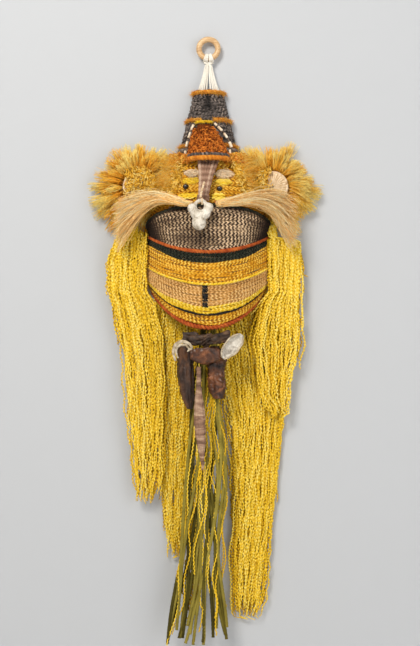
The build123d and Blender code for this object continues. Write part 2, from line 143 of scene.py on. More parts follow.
def make_object(name, vertices, faces, face_uvs, tint, material):
    """A smooth mesh object from arrays. faces and face_uvs are lists of blocks with one face size each."""
    mesh = bpy.data.meshes.new(name)
    corner_vertices = np.concatenate([block.ravel() for block in faces]).astype(np.int32)
    sizes = np.concatenate([np.full(len(block), block.shape[1]) for block in faces])
    starts = np.concatenate([[0], np.cumsum(sizes)[:-1]]).astype(np.int32)
    mesh.vertices.add(len(vertices))
    mesh.vertices.foreach_set("co", np.ascontiguousarray(vertices, np.float32).ravel())
    mesh.loops.add(len(corner_vertices))
    mesh.loops.foreach_set("vertex_index", corner_vertices)
    mesh.polygons.add(len(sizes))
    mesh.polygons.foreach_set("loop_start", starts)
    mesh.polygons.foreach_set("use_smooth", np.ones(len(sizes), bool))
    uv_layer = mesh.uv_layers.new(name="OFBake")
    uv = np.concatenate([block.reshape(-1, 2) for block in face_uvs])
    uv_layer.data.foreach_set("uv", np.ascontiguousarray(uv, np.float32).ravel())
    attribute = mesh.attributes.new("tint", "FLOAT", "POINT")
    attribute.data.foreach_set("value", np.ascontiguousarray(tint, np.float32).ravel())
    mesh.update(calc_edges=True)
    mesh.materials.append(material)
    piece = bpy.data.objects.new(name, mesh)
    bpy.context.scene.collection.objects.link(piece)
    return piece


def tube_frames(paths):
    """Two directions across each strand, carried along it without twisting."""
    tangents = unit(np.gradient(paths, axis=1))
    helper = np.eye(3)[np.argmin(np.abs(tangents[:, 0]), axis=1)]
    side = unit(np.cross(tangents[:, 0], helper))
    sides = np.empty_like(paths)
    for step in range(paths.shape[1]):
        tangent = tangents[:, step]
        side = unit(side - tangent * np.sum(side * tangent, axis=1, keepdims=True))
        sides[:, step] = side
    return sides, np.cross(tangents, sides)


def strands(name, paths, radius, tint, material, sides=5, lobes=0.0, turns=0.0, squeeze=1.0):
    """Tubes along many paths as one mesh. lobes and turns twist a two-ply section along each tube."""
    paths = np.asarray(paths, float)
    count, points, _ = paths.shape
    side, up = tube_frames(paths)
    angle = np.linspace(0, FULL_TURN, sides, endpoint=False)
    along = np.linspace(0, 1, points)
    twist = FULL_TURN * turns * along[None, :, None]
    swell = 1 + lobes * np.cos(2 * (angle[None, None, :] - twist))
    reach = np.broadcast_to(radius, (count, points))[:, :, None] * swell
    across = np.cos(angle)[None, None, :, None] * side[:, :, None]
    upward = squeeze * np.sin(angle)[None, None, :, None] * up[:, :, None]
    vertices = paths[:, :, None] + reach[..., None] * (across + upward)
    index = np.arange(count * points * sides).reshape(count, points, sides)
    after = np.roll(index, -1, axis=2)
    quads = np.stack([index[:, :-1], after[:, :-1], after[:, 1:], index[:, 1:]], axis=-1).reshape(-1, 4)
    caps = np.concatenate([index[:, 0, ::-1], index[:, -1]])
    column = (np.arange(count)[:, None, None] + np.arange(sides + 1)[None, None, :] / sides) / count
    column = np.broadcast_to(column, (count, points, sides + 1))
    height = np.broadcast_to(along[None, :, None], (count, points, sides + 1))
    grid = np.stack([column, height], axis=-1)
    quad_uvs = np.stack([grid[:, :-1, :-1], grid[:, :-1, 1:], grid[:, 1:, 1:], grid[:, 1:, :-1]], axis=-2)
    cap_uvs = np.concatenate([grid[:, 0, :-1][:, ::-1], grid[:, -1, :-1]])
    shades = np.broadcast_to(tint, (count, points))[:, :, None]
    shades = np.broadcast_to(shades, (count, points, sides))
    return make_object(
        name, vertices.reshape(-1, 3), [quads, caps], [quad_uvs.reshape(-1, 4, 2), cap_uvs], shades, material
    )


def sheet(name, grid, tint, material, thickness):
    """A surface through a grid of places, given its thickness by a modifier."""
    rows, columns, _ = grid.shape
    index = np.arange(rows * columns).reshape(rows, columns)
    quads = np.stack([index[:-1, :-1], index[:-1, 1:], index[1:, 1:], index[1:, :-1]], axis=-1).reshape(-1, 4)
    u, v = np.meshgrid(np.linspace(0, 1, columns), np.linspace(0, 1, rows))
    flat = np.stack([u, v], axis=-1)
    uvs = np.stack([flat[:-1, :-1], flat[:-1, 1:], flat[1:, 1:], flat[1:, :-1]], axis=-2).reshape(-1, 4, 2)
    shades = np.broadcast_to(tint, (rows, columns))
    piece = make_object(name, grid.reshape(-1, 3), [quads], [uvs], shades, material)
    shell = piece.modifiers.new("thickness", "SOLIDIFY")
    shell.thickness = thickness
    shell.offset = 0
    return piece


def place(piece, body, slot, *nodes):
    """Ride a piece on its body and let it stand for its CAD nodes. The slot is not used."""
    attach(piece, body)
    if nodes:
        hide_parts(*nodes)
    return piece


# Materials ----------------------------------------------------------------------------------------


FIBRE_GRAIN_SCALE = 900
FIBRE_ROUGHNESS = 0.8
GRAIN_DEPTH = 0.6 * MM


def start_material(name):
    """A new material with its node tree and its shader."""
    material = bpy.data.materials.new(name)
    material.use_nodes = True
    tree = material.node_tree
    return material, tree, tree.nodes["Principled BSDF"]


def set_inputs(node, **values):
    """Set a shader node's inputs. An underscore stands for a space in an input's name."""
    for name, value in values.items():
        node.inputs[name.replace("_", " ")].default_value = value


def add_node(tree, kind, **values):
    """A new shader node with some of its inputs set."""
    node = tree.nodes.new("ShaderNode" + kind)
    set_inputs(node, **values)
    return node


def colour_ramp(tree, colours):
    """A ramp through evenly spaced colours."""
    ramp = add_node(tree, "ValToRGB")
    elements = ramp.color_ramp.elements
    last = len(colours) - 1
    for index in range(1, last):
        elements.new(index / last)
    for index, colour in enumerate(colours):
        elements[index].position = index / last
        elements[index].color = (*colour, 1)
    return ramp


def noise_texture(tree, scale, detail, stretch, distortion=0.0):
    """Noise that stays with the object as it moves, stretched along its axes."""
    coordinates = add_node(tree, "TexCoord")
    mapping = add_node(tree, "Mapping", Scale=stretch)
    texture = add_node(tree, "TexNoise", Scale=scale, Detail=detail, Distortion=distortion)
    tree.links.new(coordinates.outputs["Object"], mapping.inputs["Vector"])
    tree.links.new(mapping.outputs["Vector"], texture.inputs["Vector"])
    return texture


def add_grain(tree, shader, scale, colour_strength, bump_strength, colour_socket, stretch=(1, 1, 1)):
    """Fine noise that darkens the colour a little and lifts the surface."""
    grain = noise_texture(tree, scale, 4, stretch)
    spread = add_node(tree, "MapRange", From_Min=0.3, From_Max=0.7)
    set_inputs(spread, To_Min=1 - colour_strength, To_Max=1 + 0.3 * colour_strength)
    shade = add_node(tree, "Mix", Factor=1)
    shade.data_type = "RGBA"
    shade.blend_type = "MULTIPLY"
    bump = add_node(tree, "Bump", Strength=bump_strength, Distance=GRAIN_DEPTH)
    link = tree.links.new
    link(grain.outputs["Fac"], spread.inputs["Value"])
    link(colour_socket, shade.inputs["A"])
    link(spread.outputs["Result"], shade.inputs["B"])
    link(shade.outputs["Result"], shader.inputs["Base Color"])
    link(grain.outputs["Fac"], bump.inputs["Height"])
    link(bump.outputs["Normal"], shader.inputs["Normal"])


def fibre(name, colours):
    """Yarn or loose fibre: a colour by strand, fine fuzz and a soft sheen."""
    material, tree, shader = start_material(name)
    set_inputs(shader, Roughness=FIBRE_ROUGHNESS, Specular_IOR_Level=0.12)
    set_inputs(shader, Sheen_Weight=0.02, Sheen_Roughness=0.5)
    tint = add_node(tree, "Attribute")
    tint.attribute_name = "tint"
    ramp = colour_ramp(tree, colours)
    tree.links.new(tint.outputs["Fac"], ramp.inputs["Fac"])
    add_grain(tree, shader, FIBRE_GRAIN_SCALE, 0.3, 0.35, ramp.outputs["Color"])
    return material


def solid(name, colours, scale, roughness, bump=0.4, stretch=(1, 1, 1), coat=0.0):
    """Wood, husk, bone or seed: a slow colour change, a fine grain and a set gloss."""
    material, tree, shader = start_material(name)
    set_inputs(shader, Roughness=roughness, Coat_Weight=coat)
    patches = noise_texture(tree, scale, 5, stretch, distortion=0.6)
    spread = add_node(tree, "MapRange", From_Min=0.32, From_Max=0.68)
    ramp = colour_ramp(tree, colours)
    tree.links.new(patches.outputs["Fac"], spread.inputs["Value"])
    tree.links.new(spread.outputs["Result"], ramp.inputs["Fac"])
    add_grain(tree, shader, scale * 6, 0.25, bump, ramp.outputs["Color"], stretch)
    return material


RING_WOOD = solid(
    "turned_wood", [(0.50, 0.30, 0.14), (0.66, 0.43, 0.22), (0.78, 0.56, 0.32)],
    60, 0.35, 0.2, (1, 1, 6),
)
CANE = solid("split_cane", [(0.42, 0.29, 0.14), (0.62, 0.46, 0.25)], 70, 0.5, 0.3, (0.15, 1, 1))
WHITE = fibre("white_cotton", [(0.50, 0.47, 0.41), (0.80, 0.77, 0.70), (0.92, 0.90, 0.85)])
CHARCOAL = fibre(
    "charcoal_yarn", [(0.014, 0.012, 0.012), (0.065, 0.055, 0.052), (0.18, 0.15, 0.14), (0.38, 0.31, 0.26)],
)
ORANGE = fibre(
    "orange_yarn", [(0.30, 0.08, 0.008), (0.64, 0.21, 0.02), (0.80, 0.36, 0.05), (0.88, 0.58, 0.12)],
)
RUST_PILE = fibre("rust_pile", [(0.07, 0.014, 0.003), (0.46, 0.11, 0.010), (0.90, 0.32, 0.05)])
RUST = fibre("rust_cord", [(0.18, 0.03, 0.010), (0.42, 0.08, 0.018), (0.64, 0.19, 0.04)])
GOLD = fibre("gold_yarn", [(0.24, 0.09, 0.005), (0.60, 0.25, 0.010), (0.84, 0.45, 0.030), (0.96, 0.68, 0.12)])
GOLD_PILE = fibre(
    "gold_pile", [(0.30, 0.13, 0.006), (0.82, 0.44, 0.03), (0.98, 0.64, 0.10), (1.0, 0.84, 0.32)],
)
YELLOW = fibre(
    "yellow_yarn", [(0.16, 0.08, 0.003), (0.68, 0.41, 0.012), (0.92, 0.63, 0.035), (1.0, 0.83, 0.20)],
)
TAN = fibre("tan_yarn", [(0.30, 0.13, 0.03), (0.68, 0.36, 0.10), (0.88, 0.60, 0.26)])
BLACK = fibre("black_yarn", [(0.006, 0.006, 0.006), (0.02, 0.02, 0.02), (0.05, 0.045, 0.04)])
GREEN_CHARCOAL = fibre(
    "green_charcoal_yarn", [(0.005, 0.006, 0.004), (0.018, 0.024, 0.015), (0.065, 0.065, 0.045)],
)
MOUTH = fibre(
    "grey_cream_weave", [(0.014, 0.009, 0.008), (0.09, 0.055, 0.038), (0.36, 0.25, 0.15), (0.78, 0.58, 0.38)],
)
CREAM = fibre("cream_fibre", [(0.34, 0.21, 0.10), (0.74, 0.54, 0.33), (0.95, 0.83, 0.64)])
SISAL = fibre("sisal", [(0.36, 0.12, 0.006), (0.98, 0.42, 0.025), (1.0, 0.62, 0.085), (1.0, 0.80, 0.26)])
PALE_FIBRE = fibre(
    "pale_fibre", [(0.70, 0.29, 0.05), (1.0, 0.55, 0.17), (1.0, 0.72, 0.32), (1.0, 0.88, 0.56)],
)
BROWN_CORD = fibre("brown_cord", [(0.12, 0.06, 0.04), (0.32, 0.19, 0.13), (0.56, 0.40, 0.30)])
OLIVE = fibre("olive_cord", [(0.030, 0.026, 0.004), (0.13, 0.105, 0.014), (0.33, 0.27, 0.05)])
BEAD = solid("cream_bead", [(0.62, 0.42, 0.26), (0.84, 0.70, 0.52), (0.92, 0.85, 0.72)], 160, 0.45, 0.2)
THREAD = solid("bead_thread", [(0.16, 0.09, 0.05), (0.34, 0.22, 0.14)], 200, 0.8)
SEED = solid("black_seed", [(0.004, 0.003, 0.003), (0.02, 0.012, 0.010)], 200, 0.2, 0.15, coat=0.6)
BONE = solid("pitted_bone", [(0.34, 0.28, 0.20), (0.66, 0.61, 0.53), (0.82, 0.78, 0.71)], 90, 0.6, 0.8)
HUSK = solid(
    "dark_husk", [(0.008, 0.003, 0.001), (0.030, 0.010, 0.004), (0.13, 0.05, 0.015)],
    55, 0.45, 0.7, (1, 1, 0.3),
)
HUSK_LIP = solid("pale_lip", [(0.30, 0.22, 0.13), (0.72, 0.64, 0.50)], 90, 0.6, 0.5)
RED_HUSK = solid(
    "red_husk", [(0.020, 0.006, 0.003), (0.085, 0.026, 0.009), (0.26, 0.09, 0.03)],
    50, 0.42, 0.7,
)
PINK_HUSK = solid(
    "slender_husk", [(0.07, 0.030, 0.015), (0.26, 0.14, 0.085), (0.50, 0.34, 0.23)],
    45, 0.5, 0.8, (0.5, 1, 2.2),
)
PALE_HUSK = solid("pale_husk", [(0.24, 0.21, 0.18), (0.58, 0.54, 0.48), (0.78, 0.75, 0.69)], 70, 0.5, 0.6)
TIE_HUSK = solid("tie_husk", [(0.010, 0.005, 0.003), (0.045, 0.020, 0.009), (0.15, 0.08, 0.04)], 60, 0.6, 0.8)


# Woven rows ---------------------------------------------------------------------------------------
# A row is (height at the sides, height at the centre front, half width, depth, fullness), as in the CAD bowl.
# A fullness of 1 makes the row a half ellipse, and lower values draw it in towards a parabola.

BACK_Y = corners("face_panel")[1][1]
MOUTH_EDGE = corners("mouth_edge_cord")
BOWL_FULLNESS = 0.45
WEFT_PITCH = 9 * MM
WEFT_RADIUS = 1.6 * MM
WEFT_SWING = 1.5 * MM
WARP_SPAN = 86  # degrees to each side of the centre front
WARP_DEPTH = 2.2 * MM
WARP_RADIUS = 2.3 * MM
FUZZ_DROOP = 0.2
LOOP_DROOP = 0.3


def bowl_row(side_z, front_z, node, fullness=BOWL_FULLNESS):
    """A row of the bowl as wide and deep as a CAD band."""
    low, high = corners(node)
    return np.array([side_z, front_z, high[0], BACK_Y - low[1], fullness])


def level_row(z, half_width, depth):
    """A level row of the hat or the top of the face."""
    return np.array([z, z, half_width, depth, 1.0])


def across_share(step, fullness):
    """The share of a row's half width at a step from -1 at its left end to 1 at its right end."""
    return step * (3 + step**2) / 4 + 0.75 * fullness * step * (1 - step**2)


def angle_across(share, fullness):
    """The angle at which a row is at a share of its half width."""
    steps = np.linspace(-1, 1, 801)
    return 0.5 * math.pi * np.interp(share, across_share(steps, fullness), steps)


def row_places(row, angle, outward):
    """Places along a row. The angle is zero at the centre front and grows towards +X."""
    side_z, front_z, half_width, depth, fullness = (row[..., index] for index in range(5))
    length = np.hypot(depth, front_z - side_z)
    step = angle / (0.5 * math.pi)
    forward = (length + outward) * (1 - step**2)
    x = (half_width + outward) * across_share(step, fullness)
    y = BACK_Y - forward * depth / length
    z = side_z + forward * (front_z - side_z) / length
    return np.stack(np.broadcast_arrays(x, y, z), axis=-1)


def row_stack(rows, shares):
    """Rows at given shares of the way down a list of rows."""
    rows = np.asarray(rows)
    position = np.asarray(shares) * (len(rows) - 1)
    index = np.minimum(position.astype(int), len(rows) - 2)
    part = (position - index)[..., None]
    return rows[index] * (1 - part) + rows[index + 1] * part


def surface(rows, share, angle, outward):
    """Places and outward directions on a woven surface."""
    row = row_stack(rows, share)
    places = row_places(row, angle, outward)
    beyond = row_places(row, angle, outward + MM)
    return places, unit(beyond - places)


def twined(
    name, rows, courses, tints_of_plies, material, seed, span=(-90, 90), lift=0.0, shade=None, points=240
):
    """Courses of two yarns twisted round each other across a surface, as in twined basket weave."""
    rng = np.random.default_rng(seed)
    angle = np.radians(np.linspace(span[0], span[1], points))
    shares = (np.arange(courses) + 0.5) / courses
    paths = []
    tints = []
    for course, share in enumerate(shares):
        lay = 1 if course % 2 else -1
        lean = rng.uniform(-0.8, 0.8)
        wander = share + 0.35 / courses * np.sin(angle * rng.uniform(3, 8) + rng.uniform(0, 6))
        places, outward = surface(rows, np.clip(wander, 0, 1), angle, lift)
        places = places + 0.9 * MM * noise(places, 16 * MM, seed + course)[:, None] * outward
        tangent = unit(np.gradient(places, axis=0))
        upward = np.cross(tangent, outward)
        run = np.concatenate([[0], np.cumsum(np.linalg.norm(np.diff(places, axis=0), axis=1))])
        for ply, base in enumerate(tints_of_plies):
            phase = lay * FULL_TURN * run / WEFT_PITCH + math.pi * ply + lean
            phase = phase + 1.1 * noise(places, 35 * MM, seed + 40 + course)
            swing = WEFT_SWING * (np.cos(phase)[:, None] * outward + np.sin(phase)[:, None] * upward)
            paths.append(places + swing)
            tint = base + rng.normal(0, 0.10) + 0.14 * noise(places, 40 * MM, seed + ply)
            tint = tint + 0.22 * noise(places, 9 * MM, seed + 10 + course)
            if shade is not None:
                tint = tint * shade(np.degrees(angle), share)
            tints.append(np.clip(tint, 0.02, 0.98))
    return strands(name, np.array(paths), WEFT_RADIUS, np.array(tints), material)


def warps(name, rows, count, material, seed):
    """The stiff cords inside the weave that its courses are worked round."""
    angles = np.radians(np.linspace(-WARP_SPAN, WARP_SPAN, count))
    share = np.linspace(0, 1, 60)
    paths = [surface(rows, share, np.full(len(share), angle), -WARP_DEPTH)[0] for angle in angles]
    tint = np.random.default_rng(seed).uniform(0.1, 0.5, (count, 1))
    return strands(name, np.array(paths), WARP_RADIUS, tint, material, sides=6)


def rope(name, path, radius, tint, material, pitch, seed, ply=2, sides=7):
    """A thick cord laid up from a few plies along a path."""
    rng = np.random.default_rng(seed)
    path = np.asarray(path)
    side, up = (frame_part[0] for frame_part in tube_frames(path[None]))
    run = np.concatenate([[0], np.cumsum(np.linalg.norm(np.diff(path, axis=0), axis=1))])
    paths = []
    tints = []
    for index in range(ply):
        phase = FULL_TURN * (run / pitch + index / ply)
        paths.append(path + 0.5 * radius * (np.cos(phase)[:, None] * side + np.sin(phase)[:, None] * up))
        tints.append(np.clip(tint + rng.normal(0, 0.12) + 0.32 * noise(path, 13 * MM, seed + index), 0, 1))
    swell = 0.56 * radius * (1 + 0.14 * noise(path, 15 * MM, seed + 7))
    return strands(name, np.array(paths), swell, np.array(tints), material, sides=sides)


def fuzz(name, places, outward, length, radius, material, seed, spread=0.7, tint=(0.3, 1.0)):
    """Short curved loose fibres standing off a set of places."""
    rng = np.random.default_rng(seed)
    count = len(places)
    direction = unit(outward + spread * rng.normal(size=(count, 3)))
    bend = rng.normal(size=(count, 3)) * 0.35
    bend[:, 2] -= FUZZ_DROOP
    share = np.linspace(0, 1, 5)[None, :, None]
    reach = length * rng.uniform(0.5, 1.2, (count, 1, 1))
    paths = places[:, None] + reach * (direction[:, None] * share + bend[:, None] * share**2)
    paths[..., 1] = np.minimum(paths[..., 1], WALL_Y)
    taper = radius * (1 - 0.7 * np.linspace(0, 1, 5)[None, :])
    shades = rng.uniform(tint[0], tint[1], (count, 1))
    return strands(name, paths, taper, shades, material, sides=3)


def loops(name, places, outward, height, width, radius, material, seed, tint=(0.2, 1.0)):
    """Looped pile: each strand leaves the surface, turns over and comes back."""
    rng = np.random.default_rng(seed)
    count = len(places)
    across = unit(np.cross(outward, rng.normal(size=(count, 3))))
    lean = unit(outward + 0.35 * rng.normal(size=(count, 3)))
    share = np.linspace(0, 1, 8)[None, :, None]
    tall = height * rng.uniform(0.6, 1.25, (count, 1, 1))
    wide = width * rng.uniform(0.6, 1.3, (count, 1, 1))
    arch = np.sin(math.pi * share)
    paths = places[:, None] + tall * arch * lean[:, None] + wide * (share - 0.5) * across[:, None]
    paths = paths + wide * 0.35 * np.sin(FULL_TURN * share) * np.cross(lean, across)[:, None]
    paths[..., 2] -= (LOOP_DROOP * tall * arch**2)[..., 0]
    paths[..., 1] = np.minimum(paths[..., 1], WALL_Y)
    # painted shade: each loop is darker near its foot in the pile and lighter over its top
    shades = rng.uniform(tint[0], tint[1], (count, 1)) * (0.7 + 0.3 * arch[..., 0])
    return strands(name, paths, radius, shades, material, sides=4)


# Ring, lashing and hanging cords ------------------------------------------------------------------


def circle_path(centre, radius, first, second, count):
    """Places round a circle that lies in the plane of two directions."""
    angle = np.linspace(0, FULL_TURN, count)[:, None]
    return np.asarray(centre) + radius * (np.cos(angle) * first + np.sin(angle) * second)


def hanging_ring():
    """A turned wooden ring, very slightly out of round."""
    high = corners("hanging_ring")[1]
    tube = high[1]
    path = circle_path((0, 0, 0), high[0] - tube, ACROSS, UP, 97)
    wear = tube * (1 + 0.012 * np.sin(np.linspace(0, 3 * FULL_TURN, len(path))))
    ring = strands("turned_ring", path[None], wear[None], 0.5, RING_WOOD, sides=28)
    place(ring, "ring", "ring_wood", "hanging_ring")


def ring_lashing():
    """Cotton loops round the ring's bar and the row of knots below them."""
    ring_high = corners("hanging_ring")[1]
    low = corners("ring_lashing")[0]
    tube = ring_high[1]
    bar_radius = ring_high[0] - tube
    loop_radius = tube + 2.1 * MM
    paths = []
    for angle in np.radians([-21, -16, -11, -6, 6, 11, 16, 21]):
        outward = np.array([math.sin(angle), 0, -math.cos(angle)])
        paths.append(circle_path(bar_radius * outward, loop_radius, outward, BACKWARD, 33))
    tints = np.linspace(0.5, 0.9, len(paths))[:, None]
    lashing = strands("lashing_loops", np.array(paths), 1.7 * MM, tints, WHITE, sides=8, lobes=0.12, turns=5)
    place(lashing, "lashing", "white_cotton", "ring_lashing")
    knot_radius = -low[2] - 2.6 * MM
    spread = np.radians(np.linspace(-108, -72, 60))
    row = np.stack([np.cos(spread), 0 * spread, np.sin(spread)], axis=-1) * knot_radius
    knots = rope("lashing_knots", row, 3.0 * MM, 0.75, WHITE, ply=3, pitch=9 * MM, seed=3)
    place(knots, "lashing", "white_cotton")


def hanging_cords():
    """Two bundles of cotton cords that part below the ring and spread down into the hat."""
    low, high = corners("hanging_cords")
    rng = np.random.default_rng(11)
    gather = np.array([0, 0, high[2] - 5.5 * MM])
    paths = []
    for share in (-1, -0.84, -0.66, -0.46, -0.2, 0.2, 0.46, 0.66, 0.84, 1):
        foot = np.array([share * (high[0] + 3 * MM), low[1] * math.sqrt(1 - 0.9 * share**2), low[2]])
        start = gather + np.array([6.5 * MM * share, rng.uniform(-2, 2) * MM, 5 * MM])
        middle = start + 0.45 * (foot - start) + np.array([-1.5 * MM * share, 0, 0])
        paths.append(resample([start, middle, foot], 40))
    tints = rng.uniform(0.35, 1, (len(paths), 1))
    spread = strands("spread_cords", np.array(paths), 1.75 * MM, tints, WHITE, sides=8, lobes=0.14, turns=9)
    place(spread, "mask", "white_cotton", "hanging_cords")
    knot_z = corners("ring_lashing")[0][2]
    drops = []
    for share in np.linspace(-1, 1, 8):
        top = np.array([share * 7 * MM, rng.uniform(-2, 2) * MM, knot_z + 3 * MM])
        foot = gather + np.array([6 * MM * share, 0, 3 * MM])
        drops.append(resample([top, 0.5 * (top + gather), foot], 16))
    tints = rng.uniform(0.4, 1, (8, 1))
    link = strands("cord_drops", np.array(drops), 1.9 * MM, tints, WHITE, sides=8, lobes=0.14, turns=3)
    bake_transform(link)


# Hat ----------------------------------------------------------------------------------------------

HAT_TOP_WIDTH = 0.46
HAT_TOP_DEPTH = 0.453
HAT_LOW, HAT_HIGH = corners("hat_cone")
HAT_DEPTH = BACK_Y - HAT_LOW[1]
HAT_ROWS = [
    level_row(HAT_HIGH[2], HAT_TOP_WIDTH * HAT_HIGH[0], HAT_TOP_DEPTH * HAT_DEPTH),
    level_row(HAT_LOW[2], HAT_HIGH[0], HAT_DEPTH),
]


def hat_slit_painted_shade(angle, share):
    """Painted shade round the narrow slit and fold at the front of the hat: the yarn tint is darkened there.
    """
    fold = np.exp(-((angle + 2) / 9) ** 2) * math.exp(-(((share - 0.12) / 0.10) ** 2))
    lower = np.exp(-((angle + 1) / 14) ** 2) * math.exp(-(((share - 0.27) / 0.06) ** 2))
    return 1 - 0.95 * np.clip(fold + lower, 0, 1)


def fuzzy_cord(name, node, material, fibre_count, seed, span=(-90, 90), slot="orange_yarn", radius=4.2 * MM):
    """A fuzzy ring of yarn round the hat, at a CAD cord's height."""
    low, high = corners(node)
    tube = (high[2] - low[2]) / 2
    row = level_row((low[2] + high[2]) / 2, high[0] - tube, BACK_Y - low[1] - tube)
    angle = np.radians(np.linspace(span[0], span[1], 220))
    path = row_places(row, angle, -2.5 * MM)
    path[:, 2] += 0.8 * MM * noise(path, 25 * MM, seed)
    piece = rope(name, path, radius, 0.55, material, pitch=9 * MM, seed=seed)
    place(piece, "mask", slot, node)
    if fibre_count:
        rng = np.random.default_rng(seed)
        hair_angle = np.radians(rng.uniform(span[0], span[1], fibre_count))
        roots = row_places(row, hair_angle, -1.5 * MM)
        away = unit(roots - np.array([0, BACK_Y, row[0]])) + rng.normal(0, 0.7, (fibre_count, 3))
        hair = fuzz(name + "_fuzz", roots + 2 * MM * unit(away), unit(away), 6 * MM, 0.5 * MM, material, seed)
        place(hair, "mask", slot)


def hat():
    """The woven cone, its inner cords and its rings."""
    weave = twined("hat_weave", HAT_ROWS, 33, (0.36, 0.64), CHARCOAL, 21, shade=hat_slit_painted_shade)
    place(weave, "mask", "charcoal_yarn", "hat_cone")
    place(warps("hat_warps", HAT_ROWS, 16, CHARCOAL, 22), "mask", "charcoal_yarn")
    fuzzy_cord("top_ring", "hat_top_cord", ORANGE, 900, 23, radius=4.6 * MM)
    fuzzy_cord("middle_ring_left", "hat_middle_cord", ORANGE, 500, 24, span=(-90, -20))
    fuzzy_cord("middle_ring_right", "hat_middle_cord", ORANGE, 500, 25, span=(14, 90))
    fuzzy_cord("base_ring", "hat_base_cord", ORANGE, 900, 26)
    fuzzy_cord("dark_ring", "hat_dark_edge", CHARCOAL, 200, 27, slot="charcoal_yarn", radius=5 * MM)


# Forehead flap ------------------------------------------------------------------------------------


def arch(centre_x, back, z, half_width, depth, angle):
    """Places round a level half ellipse that stands forward of a back line."""
    x = centre_x + half_width * np.sin(angle)
    y = back - depth * np.cos(angle)
    return np.stack([x, y, z + 0 * angle], axis=-1)


def flap_frame(share):
    """The flap's centre, back, height, half width and depth at shares of the way down it."""
    low, high = corners("forehead_flap")
    top_low, top_high = corners("flap_top_cord")
    half_width = (high[0] - low[0]) / 2
    top_half = (top_high[0] - top_low[0]) / 2
    top = np.array([(top_low[0] + top_high[0]) / 2, top_high[1], high[2], top_half, top_high[1] - top_low[1]])
    depth = corners("flap_dark_hem")[1][1] - low[1]
    base = np.array([(low[0] + high[0]) / 2, low[1] + depth, low[2], half_width, depth])
    bulge = np.sin(math.pi * share)[:, None] * np.array([0, -3 * MM, 0, 2 * MM, 2 * MM])
    return top + share[:, None] * (base - top) + bulge


def flap_places(share, angle, outward):
    """Places on the flap at shares of the way down it and angles round it."""
    centre, back, z, half_width, depth = flap_frame(share).T
    x = centre + (half_width + outward) * np.sin(angle)
    y = back - (depth + outward) * np.cos(angle)
    return np.stack([x, y, z], axis=-1)


def forehead_flap():
    """A half cone of rust pile over the forehead, with its tie, its dark hem and its orange hem."""
    rng = np.random.default_rng(31)
    count = 1500
    share = np.sqrt(rng.uniform(0.02, 1, count))
    angle = np.radians(rng.uniform(-88, 88, count))
    roots = flap_places(share, angle, -2 * MM)
    outward = unit(flap_places(share, angle, 2 * MM) - roots)
    pile = loops("flap_pile", roots, outward, 8 * MM, 6 * MM, 0.85 * MM, RUST_PILE, 32, tint=(0.05, 1.0))
    place(pile, "mask", "rust_pile", "forehead_flap")
    shares, angles = np.meshgrid(np.linspace(0, 1, 24), np.radians(np.linspace(-90, 90, 40)), indexing="ij")
    grid = flap_places(shares.ravel(), angles.ravel(), -3 * MM).reshape(24, 40, 3)
    place(sheet("flap_ground", grid, 0.1, RUST_PILE, 2 * MM), "mask", "rust_pile")
    for name, node, material, slot, width, hairs in (
        ("flap_tie", "flap_top_cord", YELLOW, "yellow_yarn", 3.4, 120),
        ("flap_edge", "flap_dark_hem", CHARCOAL, "charcoal_yarn", 5.2, 120),
        ("flap_hem", "flap_hem_cord", ORANGE, "orange_yarn", 5.6, 500),
    ):
        low, high = corners(node)
        angle = np.radians(np.linspace(-88, 88, 120))
        middle = (low + high) / 2
        path = arch(middle[0], high[1], middle[2], (high[0] - low[0]) / 2 + MM, high[1] - low[1] + MM, angle)
        place(rope(name, path, width * MM, 0.5, material, pitch=8 * MM, seed=len(name)), "mask", slot, node)
        roots = path[rng.integers(0, len(path), hairs)]
        away = unit(roots - np.array([middle[0], high[1], middle[2]]) + rng.normal(0, 6 * MM, (hairs, 3)))
        hair = fuzz(name + "_fuzz", roots, away, 6 * MM, 0.4 * MM, material, 33)
        place(hair, "mask", slot)


# Beads --------------------------------------------------------------------------------------------


def bead_strings():
    """Tubular beads where the CAD has them, each a little different, with a dark bore."""
    rng = np.random.default_rng(41)
    profile = np.array([0.30, 0.62, 0.88, 0.98, 1.0, 0.96, 1.0, 0.98, 0.88, 0.62, 0.30])
    steps = np.array([0.05, 0.01, 0.0, 0.03, 0.2, 0.5, 0.8, 0.97, 1.0, 0.99, 0.95])
    for side in ("left", "right"):
        node = f"bead_string_{side}"
        paths = []
        radii = []
        for points in islands(node):
            centre = points.mean(axis=0)
            axis = np.linalg.svd(points - centre, full_matrices=False)[2][0]
            length = np.ptp((points - centre) @ axis) * rng.uniform(0.92, 1.0)
            paths.append(centre + length * (steps - 0.5)[:, None] * axis)
            radii.append(2.8 * MM * profile * rng.uniform(0.92, 1.12))
        piece = strands(f"beads_{side}", np.array(paths), np.array(radii), 0.5, BEAD, sides=14)
        place(piece, "mask", "cream_bead", node)


# Face ---------------------------------------------------------------------------------------------

FACE_LOW, FACE_HIGH = corners("face_panel")
FACE_TOP_WIDTH = 0.545
FACE_TOP_DEPTH = 0.563
PATCH_PITCH = 2.6 * MM
FACE_ROWS = [
    level_row(FACE_HIGH[2], FACE_TOP_WIDTH * FACE_HIGH[0], FACE_TOP_DEPTH * (BACK_Y - FACE_LOW[1])),
    level_row(0.62 * FACE_HIGH[2] + 0.38 * FACE_LOW[2], 0.74 * FACE_HIGH[0], 0.745 * (BACK_Y - FACE_LOW[1])),
    bowl_row(MOUTH_EDGE[0][2] + 1.5 * MM, MOUTH_EDGE[1][2] + 1.5 * MM, "face_panel", 1.0),
]


def face_place(x, z, lift):
    """The place on the face in front of a point across and up, found by a short search down its rows."""
    shares = np.linspace(0, 1, 400)
    rows = row_stack(FACE_ROWS, shares)
    angle = angle_across(np.clip(x / (rows[:, 2] + lift), -1, 1), 1.0)
    places = row_places(rows, angle, lift)
    return places[np.argmin(np.abs(places[:, 2] - z))]


